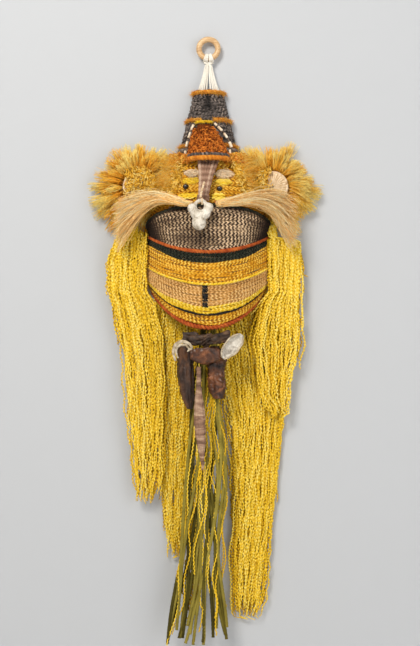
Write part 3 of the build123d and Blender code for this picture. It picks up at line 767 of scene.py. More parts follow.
def patch_rows(name, node, material, slot, seed, lift=3.6 * MM, hairs=0):
    """Raised close stitches that fill each of a CAD node's patches, with loose hairs on some."""
    rng = np.random.default_rng(seed)
    paths = []
    for points in patch_groups(node):
        low, high = points.min(axis=0), points.max(axis=0)
        centre = (low + high) / 2
        half = (high - low) / 2
        for z in np.arange(low[2] + MM, high[2], PATCH_PITCH):
            reach = half[0] * math.sqrt(max(0.02, 1 - ((z - centre[2]) / half[2]) ** 2))
            reach *= rng.uniform(0.9, 1.1)
            across = np.linspace(centre[0] - reach, centre[0] + reach, 26)
            path = np.array([face_place(x, z, lift) for x in across])
            wave = np.sin(np.linspace(0, reach / MM, 26) + rng.uniform(0, 6))
            paths.append(path + 0.7 * MM * wave[:, None] * [0, 0.6, 1])
    tints = rng.uniform(0.3, 0.95, (len(paths), 1))
    piece = strands(name, np.array(paths), 1.6 * MM, tints, material, sides=6, lobes=0.15, turns=6)
    place(piece, "mask", slot, node)
    if hairs:
        rows = np.concatenate(paths)
        roots = rows[rng.integers(0, len(rows), hairs)]
        away = np.tile([0.0, -1.0, -0.4], (hairs, 1))
        tint = (0.75, 1.0)
        hair = fuzz(name + "_fuzz", roots, away, 9 * MM, 0.4 * MM, material, seed, spread=0.9, tint=tint)
        place(hair, "mask", slot)


def patch_groups(node):
    """A patch node's points, one group for each side of the nose."""
    points = np.concatenate(islands(node))
    return [points[points[:, 0] < -4 * MM], points[points[:, 0] >= -4 * MM]]


def eyes():
    """Glossy black seeds, a little pointed."""
    profile = np.array([0.05, 0.45, 0.75, 0.93, 1.0, 0.94, 0.78, 0.52, 0.25, 0.05])
    steps = np.linspace(-1, 1, 10)
    paths = []
    for points in islands("eyes"):
        centre = points.mean(axis=0) + np.array([0, 1.0 * MM, 0])
        paths.append(centre + steps[:, None] * 7.5 * MM * unit(np.array([0.1, -0.25, -1.0])))
    piece = strands("seed_eyes", np.array(paths), 6.8 * MM * profile, 0.5, SEED, sides=20)
    place(piece, "mask", "seed_black", "eyes")


def nose():
    """Six brown cords that run down from under the flap to a bound tip."""
    low, high = corners("nose_cords")
    tip = np.array([low[0] * 0.45, low[1] + 9 * MM, low[2] + 9 * MM])
    paths = []
    rng = np.random.default_rng(51)
    for across in np.linspace(-1, 1, 6):
        top = np.array([0.82 * high[0] * across, high[1] - 5 * MM, high[2] + 4 * MM])
        middle = 0.5 * (top + tip) + np.array([2 * MM * across, -3 * MM, 0])
        foot = tip + np.array([8 * MM * across, -1 * MM, 0])
        paths.append(resample([top, middle, foot], 60))
    radius = np.linspace(4.2, 2.7, 60) * MM
    tints = np.clip(rng.uniform(0.25, 0.95, (6, 1)) + 0.2 * np.sin(np.linspace(0, 40, 60))[None], 0, 1)
    paths = np.array(paths)
    cords = strands("nose_strands", paths, radius[None], tints, BROWN_CORD, sides=10, lobes=0.14, turns=7)
    place(cords, "mask", "brown_cord", "nose_cords")
    turn = np.linspace(0, 4 * FULL_TURN, 110)
    coil = np.stack([11 * np.cos(turn), 5 * np.sin(turn), np.linspace(3, -7, len(turn))], axis=-1)
    binding = rope("nose_binding", tip + MM * coil, 2.6 * MM, 0.4, BROWN_CORD, pitch=6 * MM, seed=52)
    place(binding, "mask", "brown_cord")


def face_shade(angle, share):
    """Warmer and lighter stitches towards the middle of the face."""
    return 0.75 + 0.35 * np.exp(-((angle / 40) ** 2))


def cheek_pile(side, sign, seed):
    """Golden looped pile and loose wisps over the temple and cheek, with a warm edge under the hat."""
    rng = np.random.default_rng(seed)
    count = 2000
    share = rng.uniform(0.02, 0.86, count)
    angle = sign * np.radians(rng.uniform(36, 88, count) + 4 * share)
    roots, outward = surface(FACE_ROWS, share, angle, 0)
    name = f"cheek_pile_{side}_loops"
    pile = loops(name, roots, outward, 11 * MM, 8 * MM, 0.8 * MM, GOLD_PILE, seed, tint=(0.05, 1.0))
    place(pile, "mask", "gold_yarn", f"cheek_pile_{side}")
    count = 260
    share = rng.uniform(0.0, 0.14, count)
    angle = sign * np.radians(rng.uniform(24, 88, count))
    roots, outward = surface(FACE_ROWS, share, angle, 3 * MM)
    warm = loops(f"temple_pile_{side}", roots, outward, 12 * MM, 8 * MM, 0.95 * MM, ORANGE, seed + 5)
    place(warm, "mask", "orange_yarn")
    count = 1100
    share = rng.uniform(0.04, 0.60, count)
    angle = sign * np.radians(rng.uniform(46, 87, count))
    roots, outward = surface(FACE_ROWS, share, angle, 4 * MM)
    leaning = unit(outward + np.array([0.9 * sign, 0.2, 0.5]))
    wisps = fuzz(f"temple_wisps_{side}", roots, leaning, 26 * MM, 0.45 * MM, SISAL, seed + 9, spread=0.45)
    place(wisps, "mask", "sisal")


def face():
    """The small woven face: its weave, its stitched patches, eyes and nose."""
    weave = twined("face_weave", FACE_ROWS, 28, (0.25, 0.75), GOLD, 53, shade=face_shade)
    place(weave, "mask", "gold_yarn", "face_panel")
    place(warps("face_warps", FACE_ROWS, 26, GOLD, 54), "mask", "gold_yarn")
    patch_rows("brow_stitches", "brow_patches", CREAM, "white_patch", 55, hairs=420)
    patch_rows("eyelid_stitches", "eyelid_patches", YELLOW, "yellow_yarn", 56, hairs=160)
    patch_rows("lower_eye_stitches", "lower_eye_patches", YELLOW, "yellow_yarn", 57, lift=4.6 * MM)
    patch_rows("cheek_stitches", "cheek_patches", RUST, "rust_pile", 58)
    eyes()
    nose()
    cheek_pile("left", -1, 59)
    cheek_pile("right", 1, 60)


# Mouth and chin -----------------------------------------------------------------------------------


def mouth_tone_and_painted_light(angle, share):
    """Darker yarn at the corners, a darker top edge, painted shadow in the fold under the pendant and painted
    light over the upper right.
    """
    corner = np.clip((np.abs(angle) - 50) / 20, 0, 1)
    edge = math.exp(-((share / 0.05) ** 2))
    # painted shadow: the fold under the pendant is darkened
    fold = 0.45 * np.exp(-(((angle + 14) / 24) ** 2)) * math.exp(-(((share - 0.75) / 0.25) ** 2))
    # painted light: the upper right of the mouth is brightened, most near its top
    painted_light = 1 + 0.35 * np.exp(-(((angle - 26) / 20) ** 2)) * (1 - 0.5 * share)
    return (1 - 0.92 * corner) * (1 - 0.85 * edge) * (1 - fold) * painted_light


def bowl_cord(name, node, tube, material, slot, radius_scale, hairs, seed):
    """A laid cord between two bands of the bowl, where the CAD has it. The cord over the mouth arches up."""
    low, high = corners(node)
    half_width = high[0] - tube
    depth = BACK_Y - low[1] - tube
    if node == "mouth_edge_cord":
        row = np.array([low[2] + tube, high[2] - tube, half_width, depth, 1.0])
    else:
        row = np.array([high[2] - tube, low[2] + tube, half_width, depth, BOWL_FULLNESS])
    angle = np.radians(np.linspace(-90, 90, 320))
    path = row_places(row, angle, 1.2 * MM)
    path[:, 2] += 0.7 * MM * noise(path, 60 * MM, seed)
    pitch = max(7 * MM, 3.2 * tube)
    cord = rope(name, path, radius_scale * tube, 0.5, material, pitch=pitch, sides=8, seed=seed)
    place(cord, "mask", slot, node)
    if hairs:
        rng = np.random.default_rng(seed)
        roots = path[rng.integers(0, len(path), hairs)]
        away = unit(roots - np.array([0, BACK_Y, row[:2].mean()]) + rng.normal(0, 30 * MM, (hairs, 3)))
        place(fuzz(name + "_fuzz", roots, away, 5 * MM, 0.35 * MM, material, seed), "mask", slot)


def mouth_and_chin():
    """The big woven bowl: mouth, lip, chin bands and the cords between them."""
    edge_low, edge_high = MOUTH_EDGE

    def row(side_node, front_node, width_node):
        """A row from one node's top at the sides to another's foot at the front, as wide as a third."""
        return bowl_row(corners(side_node)[1][2], corners(front_node)[0][2], width_node)

    corner_z = corners("lip_cord")[1][2]
    mouth_top = bowl_row(edge_low[2] - MM, edge_high[2] - 3 * MM, "mouth_panel", 1.0)
    mouth_top[3] *= 0.90
    mouth_middle = bowl_row(0.5 * (edge_low[2] + corner_z), edge_low[2] - 4 * MM, "mouth_panel", 0.7)
    mouth_rows = [mouth_top, mouth_middle, row("lip_cord", "mouth_panel", "mouth_panel")]
    lip_rows = [row("lip_band", "lip_cord", "lip_band"), row("chin_gold_band", "lip_band", "lip_band")]
    gold_rows = [
        row("chin_gold_band", "lip_band", "chin_gold_band"),
        row("chin_tan_band", "chin_gold_band", "chin_gold_band"),
    ]
    tan_rows = [
        row("chin_tan_band", "chin_gold_band", "chin_tan_band"),
        row("chin_yellow_band", "chin_tan_band", "chin_yellow_band"),
    ]
    yellow_rows = [tan_rows[1], row("chin_black_cord", "chin_yellow_band", "chin_black_cord")]
    orange_rows = [
        row("chin_orange_band", "chin_black_cord", "chin_orange_band"),
        row("chin_border_cord", "chin_orange_band", "chin_border_cord"),
    ]
    bands = (
        ("mouth_weave", mouth_rows, 22, (0.26, 0.80), MOUTH, "grey_weave", "mouth_panel", 61, mouth_tone_and_painted_light),
        ("lip_weave", lip_rows, 5, (0.25, 0.75), GREEN_CHARCOAL, "green_charcoal_yarn", "lip_band", 62, None),
        ("gold_weave", gold_rows, 11, (0.28, 0.78), GOLD, "gold_yarn", "chin_gold_band", 63, None),
        ("tan_weave", tan_rows, 11, (0.26, 0.82), TAN, "tan_yarn", "chin_tan_band", 64, None),
        ("yellow_weave", yellow_rows, 4, (0.30, 0.80), YELLOW, "yellow_yarn", "chin_yellow_band", 65, None),
        ("orange_weave", orange_rows, 5, (0.22, 0.72), GOLD, "orange_yarn", "chin_orange_band", 66, None),
    )
    for name, rows, courses, ply_tints, material, slot, node, seed, shade in bands:
        piece = twined(name, rows, courses, ply_tints, material, seed, shade=shade, points=330)
        place(piece, "mask", slot, node)
    all_rows = [mouth_top, mouth_middle, lip_rows[0], gold_rows[0], tan_rows[0], yellow_rows[0]]
    all_rows.append(orange_rows[1])
    place(warps("bowl_warps", all_rows, 40, CREAM, 67), "mask", "tan_yarn")
    cords = (
        ("mouth_top_edge", "mouth_edge_cord", 1.3 * MM, GREEN_CHARCOAL, "green_charcoal_yarn", 2.6, 150, 68),
        ("lip_rope", "lip_cord", 3.6 * MM, RUST, "rust_cord", 1.2, 300, 69),
        ("chin_line", "chin_black_cord", 2.2 * MM, BLACK, "black_yarn", 1.2, 0, 70),
        ("chin_border", "chin_border_cord", 5.0 * MM, RUST, "rust_cord", 1.1, 300, 71),
    )
    for cord in cords:
        bowl_cord(*cord)
    line_rows = [gold_rows[1] + np.array([2, 2, 0.5, 0.5, 0]) * MM, gold_rows[1]]
    line = twined("chin_yellow_line", line_rows, 1, (0.8, 0.9), YELLOW, 72, lift=0.8 * MM, points=330)
    place(line, "mask", "yellow_yarn")
    mark_sides = np.array(corners("chin_mark"))[:, 0]
    span = np.degrees(angle_across(mark_sides / tan_rows[0][2], BOWL_FULLNESS))
    mark = twined("chin_stitches", tan_rows, 10, (0.3, 0.6), BLACK, 73, span=span, lift=2.2 * MM, points=14)
    place(mark, "mask", "black_yarn", "chin_mark")


# Ears ---------------------------------------------------------------------------------------------


FIBRES_IN_TUFT = 56


def ear_disc(side, sign, seed, pile_reach):
    """A coiled pale fibre disc in a soft rim, with golden loops over its inner part."""
    node = f"ear_disc_{side}"
    low, high = corners(node)
    centre = np.array([(low[0] + high[0]) / 2, low[1], (low[2] + high[2]) / 2])
    outer = (high[0] - low[0]) / 2
    turn = np.linspace(0, 9 * FULL_TURN, 900)
    reach = 2 * MM + (outer - 5 * MM) * turn / turn[-1]
    dome = 5 * MM * (reach / outer) ** 2
    path = centre + np.stack([reach * np.cos(turn), 2 * MM + dome, reach * np.sin(turn)], axis=-1)
    path[:, 1] += 1.2 * MM * noise(path, 25 * MM, seed)
    tint = np.clip(0.55 + 0.25 * noise(path, 12 * MM, seed) + 0.3 * np.sin(turn * 31), 0, 1)
    name = f"ear_coil_{side}"
    coil = strands(name, path[None], 2.1 * MM, tint[None], CREAM, sides=8, lobes=0.16, turns=330)
    place(coil, "mask", "cream_weave", node)
    for edge_name, depth, inset, thickness, shade in (("rim", 7, 2, 3.4, 0.6), ("back", 12, 6, 5, 0.4)):
        name = f"ear_{edge_name}_{side}"
        ring = circle_path(centre + depth * MM * BACKWARD, outer - inset * MM, ACROSS, UP, 160)
        edge = rope(name, ring, thickness * MM, shade, CREAM, ply=3, pitch=11 * MM, seed=seed)
        place(edge, "mask", "cream_weave")
    rng = np.random.default_rng(seed)
    count = 900
    angle = rng.uniform(0, FULL_TURN, count)
    reach = outer * 1.12 * np.sqrt(rng.uniform(0, 1, count)) + np.abs(rng.normal(0, 4 * MM, count))
    covered = reach * np.cos(angle) * sign < pile_reach * outer + rng.normal(0, 6 * MM, count)
    angle, reach = angle[covered], reach[covered]
    roots = centre + np.stack([reach * np.cos(angle), 0 * reach + 5 * MM, reach * np.sin(angle)], axis=-1)
    forward = np.tile(-BACKWARD, (len(roots), 1))
    name = f"ear_pile_{side}"
    pile = loops(name, roots, forward, 12 * MM, 9 * MM, 0.8 * MM, GOLD_PILE, seed + 2, tint=(0.15, 1.0))
    place(pile, "mask", "gold_yarn")


def ear_tuft(side, start_deg, finish_deg, seed):
    """Brush-like bundles of sisal that stand out round an ear in three layers."""
    rng = np.random.default_rng(seed)
    node = f"ear_tuft_{side}"
    low, high = corners(node)
    centre = sum(corners(f"ear_disc_{side}")) / 2
    centre[1] = (low[1] + high[1]) / 2
    full = high[2] - centre[2]
    size = FIBRES_IN_TUFT
    share = np.linspace(0, 1, 7)[None, :, None]
    paths = []
    tints = []
    for layer, bundle_count, reach_scale in ((0, 26, 1.0), (1, 22, 0.90), (2, 17, 0.74)):
        for bundle in range(bundle_count):
            turned = (bundle + rng.uniform(0.1, 0.9)) / bundle_count
            heading = math.radians(start_deg + (finish_deg - start_deg) * turned)
            reach = full * reach_scale * rng.uniform(0.78, 1.13)
            angle = heading + rng.normal(0, math.radians(3.2), size)
            root_angle = heading + rng.normal(0, math.radians(3.0), size)
            root_reach = rng.uniform(0.32, 0.42, size) * full
            tip_reach = reach * rng.uniform(0.84, 1.02, size)
            back = (3 - 7 * layer) * MM + rng.normal(0, 3 * MM, size)
            flare = rng.normal(0, 5 * MM, size) - 3 * MM * layer
            root = np.stack([root_reach * np.cos(root_angle), back, root_reach * np.sin(root_angle)], axis=-1)
            tip = np.stack([tip_reach * np.cos(angle), back + flare, tip_reach * np.sin(angle)], axis=-1)
            bow = rng.normal(0, 2.6 * MM, (size, 1, 3)) * np.sin(math.pi * share)
            path = centre + root[:, None] + share * (tip - root)[:, None] + bow
            path[..., 2] -= (7 * MM * share**2)[..., 0] * abs(math.cos(heading))
            path[..., 1] = np.minimum(path[..., 1], WALL_Y)
            paths.append(path)
            tone = rng.uniform(0.30, 0.85) + rng.normal(0, 0.14, (size, 1))
            tints.append(np.clip(tone + 0.55 * (share[..., 0] - 0.45), 0, 1))
    taper = 0.62 * MM * (1 - 0.4 * np.linspace(0, 1, 7))[None]
    piece = strands(f"sisal_tuft_{side}", np.concatenate(paths), taper, np.concatenate(tints), SISAL, sides=3)
    place(piece, "mask", "sisal", node)


# Moustache ----------------------------------------------------------------------------------------


HANK_FIBRES = 1700
HANK_LOCKS = 46


def moustache(side, sign, seed):
    """A combed hank of pale fibre, bound at the nose and frayed at its tip."""
    rng = np.random.default_rng(seed)
    node = f"moustache_{side}"
    low, high = corners(node)
    inner, outer = (high[0], low[0]) if sign < 0 else (low[0], high[0])
    stations = inner + (outer - inner) * np.linspace(0.02, 0.93, 14)
    centres = []
    widths = []
    for x in stations:
        cut = node_slice(node, 0, x)
        centres.append((cut.min(axis=0) + cut.max(axis=0)) / 2)
        widths.append((cut.max(axis=0) - cut.min(axis=0)) / 2)
    count = HANK_FIBRES
    points = 26
    start = rng.uniform(0, 0.5, count) ** 1.3
    finish = 0.46 + 0.44 * rng.uniform(0, 1, count) ** 0.8
    t = start[:, None] + (finish - start)[:, None] * np.linspace(0, 1, points)[None]
    line = resample(centres, 200)
    spread = resample(widths, 200)
    index = (t * 199).astype(int)
    lock = rng.integers(0, HANK_LOCKS, count)
    lock_turn = rng.uniform(0, FULL_TURN, HANK_LOCKS)
    lock_out = np.sqrt(rng.uniform(0.05, 1, HANK_LOCKS))
    turn = lock_turn[lock] + rng.normal(0, 0.22, count)
    out = np.clip(lock_out[lock] + rng.normal(0, 0.10, count), 0, 1.15)
    swirl = turn[:, None] + 0.9 * t
    fan = 0.66 + 0.52 * t**2
    offset = np.stack(
        [
            0.20 * spread[index, 0] * np.cos(swirl + 1),
            0.85 * spread[index, 1] * np.sin(swirl),
            fan * spread[index, 2] * np.cos(swirl),
        ],
        axis=-1,
    )
    paths = line[index] + out[:, None, None] * offset
    drift = rng.normal(0, 1, (count, 1, 3)) * np.array([9, 6, 13]) * MM
    paths = paths + drift * ((t - start[:, None]) ** 1.5)[..., None]
    stray = 2.6 * MM + 5 * MM * np.clip(t - 0.7, 0, 1) * 4
    for axis in range(3):
        paths[..., axis] += stray * noise(paths + rng.normal(size=(count, 1, 3)) * 0.03, 55 * MM, seed + axis)
    # each lock has its own random tone; painted shade darkens the fibres that lie near the middle of the hank
    tone = rng.uniform(-0.2, 0.2, HANK_LOCKS)[lock][:, None] - 0.30 * (1 - out[:, None])
    tints = np.clip(rng.uniform(0.30, 1.0, (count, 1)) + tone + 0.1 * t, 0, 1)
    taper = 0.55 * MM * (1 - 0.4 * np.linspace(0, 1, points))[None]
    piece = strands(f"hank_{side}", paths, taper, tints, PALE_FIBRE, sides=3)
    place(piece, f"moustache_{side}", "pale_fibre", node)
    bound_at = 6
    turns = np.linspace(0, 3 * FULL_TURN, 80)
    radius = 0.6 * spread[bound_at, 2]
    along = np.linspace(-3, 3, len(turns)) * MM
    coil = line[bound_at] + np.stack([along, radius * np.sin(turns), radius * np.cos(turns)], axis=-1)
    wrap = rope(f"hank_wrap_{side}", coil, 1.1 * MM, 0.6, PALE_FIBRE, pitch=5 * MM, sides=5, seed=seed)
    place(wrap, f"moustache_{side}", "pale_fibre")


# Pendant ------------------------------------------------------------------------------------------


def pendant_cord():
    """The twisted cord under the nose and the loop that carries the pendant."""
    low, high = corners("pendant_cord")
    cuts = [node_slice("pendant_cord", 2, z) for z in np.linspace(high[2] - MM, low[2] + 14 * MM, 8)]
    line = [(cut.min(axis=0) + cut.max(axis=0)) / 2 for cut in cuts]
    line.insert(0, line[0] + np.array([1.5, 2.5, 6]) * MM)
    cord = rope("pendant_string", resample(line, 60), 2.3 * MM, 0.55, CREAM, pitch=7 * MM, seed=81)
    place(cord, "pendant_cord", "white_cotton", "pendant_cord")
    bar = np.array([(low[0] + high[0]) / 2, line[-1][1], low[2] + 5.6 * MM])
    circle = circle_path(bar, 5.6 * MM, BACKWARD, UP, 40)
    loop = rope("pendant_loop", circle, 2.0 * MM, 0.5, CREAM, pitch=6 * MM, sides=6, seed=82)
    place(loop, "pendant_cord", "white_cotton")


def carved_pendant():
    """The CAD pendant, softened, made uneven and pitted."""
    source = bpy.data.objects.new("pendant_source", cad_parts["nose_pendant"].data.copy())
    bpy.context.scene.collection.objects.link(source)
    voxels = source.modifiers.new("voxels", "REMESH")
    voxels.mode = "VOXEL"
    voxels.voxel_size = 1.0 * MM
    relax = source.modifiers.new("relax", "SMOOTH")
    relax.factor = 0.9
    relax.iterations = 34
    evaluated = source.evaluated_get(bpy.context.evaluated_depsgraph_get())
    mesh = bpy.data.meshes.new_from_object(evaluated)
    bpy.data.objects.remove(source)
    places = np.array([vertex.co for vertex in mesh.vertices])
    normals = np.array([vertex.normal for vertex in mesh.vertices])
    rng = np.random.default_rng(83)
    depth = 1.0 * MM + 0.8 * MM * noise(places, 22 * MM, 84) + 0.2 * MM * noise(places, 7 * MM, 85)
    for index in rng.integers(0, len(places), 40):
        reach = rng.uniform(1.0, 2.6) * MM
        near = np.exp(-(np.linalg.norm(places - places[index], axis=1) / reach) ** 2)
        depth -= rng.uniform(0.3, 0.9) * MM * near
    mesh.vertices.foreach_set("co", (places + depth[:, None] * normals).ravel())
    mesh.polygons.foreach_set("use_smooth", np.ones(len(mesh.polygons), bool))
    mesh.materials.clear()
    mesh.materials.append(BONE)
    mesh.update()
    piece = bpy.data.objects.new("carved_pendant", mesh)
    bpy.context.scene.collection.objects.link(piece)
    place(piece, "nose_pendant", "stone_bone", "nose_pendant")


# Beard --------------------------------------------------------------------------------------------


YARN_RADIUS = 1.55 * MM
YARN_STEP = 2.1 * MM


def span_table(node):
    """The left and right edges of a CAD curtain at many heights, from its top down."""
    low, high = corners(node)
    heights = np.linspace(high[2] - 0.5 * MM, low[2] + 0.5 * MM, 90)
    cuts = [node_slice(node, 2, z)[:, 0] for z in heights]
    return heights, np.array([cut.min() for cut in cuts]), np.array([cut.max() for cut in cuts])


def yarn_fringe(name, node, body, groups, seed, top_rise=0.0, shoulder=0.0):
    """Crimped yarn that fills a CAD curtain.

    A group is (count, left share, right share, end low, end high): how many strands, between which shares of
    the curtain's width, and between which shares of its drop they end.
    """
    rng = np.random.default_rng(seed)
    low, high = corners(node)
    heights, left, right = span_table(node)
    drop = high[2] - low[2]
    outer = 1 if low[0] + high[0] > 0 else -1
    points = int((drop + top_rise) / YARN_STEP)
    paths = []
    tints = []
    tapers = []
    for count, share_low, share_high, end_low, end_high in groups:
        for index in range(count):
            share = share_low + (share_high - share_low) * (index + rng.uniform(0, 1)) / count
            end = rng.uniform(end_low, end_high)
            wander = rng.normal(0, 0.035)
            outwardness = share if outer > 0 else 1 - share
            rise = top_rise - rng.uniform(0, 14 * MM) - shoulder * np.clip(outwardness, 0, 1) ** 3
            rise -= 2.5 * shoulder * np.clip(0.25 - outwardness, 0, 1)
            z = high[2] + rise - np.linspace(0, end * drop + rise, points)
            edge_left = np.interp(-z, -heights, left)
            edge_right = np.interp(-z, -heights, right)
            sway = np.linspace(0, 1, points)
            x = edge_left + (share + wander * sway) * (edge_right - edge_left)
            forward = rng.uniform(0, 1)
            y = np.full(points, high[1] - YARN_RADIUS - forward * (high[1] - low[1] - 2 * YARN_RADIUS))
            phase = rng.uniform(0, FULL_TURN, 6)
            crimp = rng.uniform(6.5, 10.5) * MM
            height = rng.uniform(0.8, 1.6) * MM
            uneven = 1.2 * np.sin(FULL_TURN * z / (31 * MM) + phase[5])
            x = x + height * np.sin(FULL_TURN * z / crimp + phase[0] + uneven)
            y = y + height * np.sin(FULL_TURN * z / (crimp * 1.07) + phase[1])
            x = x + 1.8 * MM * np.sin(FULL_TURN * z / rng.uniform(0.03, 0.12) + phase[2])
            y = y + 1.5 * MM * np.sin(FULL_TURN * z / rng.uniform(0.03, 0.12) + phase[3])
            x = x + sway * 5 * MM * np.sin(FULL_TURN * z / 0.45 + phase[4])
            tip = np.clip((sway - 0.9) / 0.1, 0, 1) ** 2
            x = x + rng.normal(0, 5 * MM) * tip + outer * 10 * MM * (1 - end) * sway
            x = x - outer * shoulder * outwardness**2 * np.exp(-((z[0] - z) / (38 * MM)))
            paths.append(np.stack([x, y, z], axis=-1))
            # painted shade: strands that lie further back towards the wall get a darker tint, with a random
            # spread on top
            tone = 0.02 + 0.55 * forward + rng.uniform(0, 0.40)
            # painted highlight and shade: the tint follows the crimp, lighter where the yarn swells and
            # darker where it narrows
            knots = np.sin(FULL_TURN * z / (crimp * 0.83) + phase[5])
            tints.append(np.clip(tone + 0.18 * knots, 0, 1))
            tapers.append(YARN_RADIUS * (1 + 0.22 * knots) * np.where(sway > 0.985, 0.6, 1.0))
    piece = strands(name, np.array(paths), np.array(tapers), np.array(tints), YELLOW)
    return place(piece, body, "yellow_yarn", node)


def beard():
    """The tiers of yellow yarn on both sides, with the green cords and the loose strands between them."""
    yarn_fringe("yarn_left_outer", "fringe_left_outer", "fringe_left_outer",
                [(26, 0.0, 0.60, 0.14, 0.26), (30, 0.0, 0.85, 0.30, 0.48), (38, 0.0, 1.14, 0.72, 1.0),
                 (38, 0.0, 1.10, 0.93, 1.0), (16, 0.1, 1.14, 0.50, 0.85)], 101,
                top_rise=30 * MM, shoulder=22 * MM)
    yarn_fringe("yarn_left_inner", "fringe_left_inner", "fringe_left_inner",
                [(66, -0.10, 1.0, 0.84, 1.0), (24, 0.2, 1.0, 0.45, 0.8)], 102, top_rise=62 * MM)
    yarn_fringe("yarn_right_outer", "fringe_right_outer", "fringe_right_outer",
                [(28, 0.4, 1.0, 0.14, 0.40), (34, 0.2, 1.0, 0.50, 0.76), (62, -0.14, 0.97, 0.84, 1.0),
                 (12, -0.26, -0.08, 0.20, 0.80)], 103,
                top_rise=44 * MM, shoulder=22 * MM)
    yarn_fringe("yarn_right_inner", "fringe_right_inner", "fringe_right_inner",
                [(70, 0.0, 1.0, 0.93, 1.0), (44, 0.0, 1.0, 0.55, 0.95), (12, -0.16, 0.06, 0.35, 0.62)], 104,
                top_rise=62 * MM)
    yarn_fringe("yarn_centre", "centre_tassel", "green_cords", [(20, 0.0, 1.0, 0.8, 1.0)], 105)
    green_cords()
    loose_strands()


def crossing_paths(node, count, points, seed, top_share, bottom_spread, end_low, end_high, sway):
    """Paths that leave a curtain's narrow top together, cross and fan out to its foot."""
    rng = np.random.default_rng(seed)
    low, high = corners(node)
    heights, left, right = span_table(node)
    drop = high[2] - low[2]
    foot_order = np.linspace(0, 1, count) + rng.normal(0, 0.28, count)
    foot_order = np.clip(foot_order, 0.02, 0.98)
    paths = []
    for index in range(count):
        top = 0.5 + top_share * (index / max(1, count - 1) - 0.5) + rng.normal(0, 0.05)
        foot = 0.5 + bottom_spread * (foot_order[index] - 0.5)
        end = rng.uniform(end_low, end_high)
        t = np.linspace(0, 1, points)
        z = high[2] + 14 * MM - t * (end * drop + 14 * MM)
        share = top + (foot - top) * t**1.3
        width_left, width_right = np.interp(-z, -heights, left), np.interp(-z, -heights, right)
        bend = np.sin(FULL_TURN * (t * rng.uniform(0.5, 1.4) + rng.uniform(0, 1))) * np.sin(math.pi * t)
        x = width_left + share * (width_right - width_left) + sway * bend
        weave = np.sin(FULL_TURN * (t * rng.uniform(0.3, 0.9) + rng.uniform(0, 1)))
        y = (low[1] + high[1]) / 2 + (high[1] - low[1]) * 0.36 * weave
        paths.append(np.stack([x, y, z], axis=-1))
    return np.array(paths)


def green_cords():
    """Stiff olive cords from under the chin to the lowest point of the mask."""
    count = 20
    points = 170
    paths = crossing_paths("green_cords", count, points, 111, 1.0, 1.0, 0.92, 1.0, 13 * MM)
    rng = np.random.default_rng(112)
    tints = np.clip(rng.uniform(0.1, 0.95, (count, 1)) + 0.12 * noise(paths, 30 * MM, 113), 0, 1)
    radius = np.linspace(3.8, 3.3, points)[None] * MM
    piece = strands("olive_cords", paths, radius, tints, OLIVE, sides=10, lobes=0.12, turns=48)
    place(piece, "green_cords", "olive_cord", "green_cords")


def loose_strands():
    """Single yellow strands that run down among the green cords."""
    count = 24
    paths = crossing_paths("green_cords", count, 300, 121, 1.1, 0.95, 0.40, 0.99, 9 * MM)
    rng = np.random.default_rng(122)
    height = paths[..., 2]
    phase = rng.uniform(0, FULL_TURN, (count, 1))
    paths[..., 0] += 0.9 * MM * np.sin(FULL_TURN * height / (9 * MM) + phase)
    wave = rng.uniform(70, 190, (count, 1)) * MM
    wander = np.sin(FULL_TURN * height / wave + 2 * phase) * rng.uniform(0.3, 1, (count, 1))
    paths[..., 0] += 5 * MM * wander
    paths[..., 1] -= 1.5 * MM
    mottle = np.sin(FULL_TURN * height / (7 * MM))
    tints = np.clip(rng.uniform(0.3, 0.85, (count, 1)) + 0.15 * mottle, 0, 1)
    piece = strands("loose_yellow", paths, 1.4 * MM, tints, YELLOW)
    place(piece, "green_cords", "yellow_yarn")


# Pods ---------------------------------------------------------------------------------------------


HUSK_CURL = 0.25
HUSK_WALL = 1.7 * MM


def husk(name, node, material, widths, opening_deg, seed, crumple=0.10, lean=0.0):
    """A dry open pod that hangs on its own body: a curled sheet with a rippled edge.

    widths are shares of its full width, from its top down.
    """
    low, high = corners(node)
    t = np.linspace(0, 1, 90)[:, None]
    angle = np.radians(np.linspace(-opening_deg, opening_deg, 44))[None]
    half = (high[0] - low[0]) / 2
    depth = high[1] - low[1]
    profile = np.interp(t[:, 0], np.linspace(0, 1, len(widths)), widths)[:, None]
    heights = high[2] - MM - t[:, 0] * (high[2] - low[2] - 2 * MM)
    centre = np.array([node_slice(node, 2, z)[:, 0].mean() for z in heights])
    edge = np.abs(angle / angle.max())
    inward = 1 - HUSK_CURL * np.clip(edge - 0.7, 0, 1) / 0.3
    x = centre[:, None] + lean * t + half * profile * inward * np.sin(angle)
    y = high[1] - depth * profile * inward * np.cos(angle)
    z = high[2] - t * (high[2] - low[2]) + 0 * angle
    grid = np.stack(np.broadcast_arrays(x, y, z), axis=-1)
    away = unit(np.stack(np.broadcast_arrays(np.sin(angle), -np.cos(angle), 0 * x), axis=-1))
    ripple = crumple * half * (noise(grid, 45 * MM, seed) + 0.4 * noise(grid, 14 * MM, seed + 1))
    ridge = 0.06 * half * np.cos(9 * angle + 1.5 * t)
    grid = grid + (ripple + ridge * profile)[..., None] * away
    place(sheet(name, grid, 0.5, material, HUSK_WALL), node, "pod_brown", node)


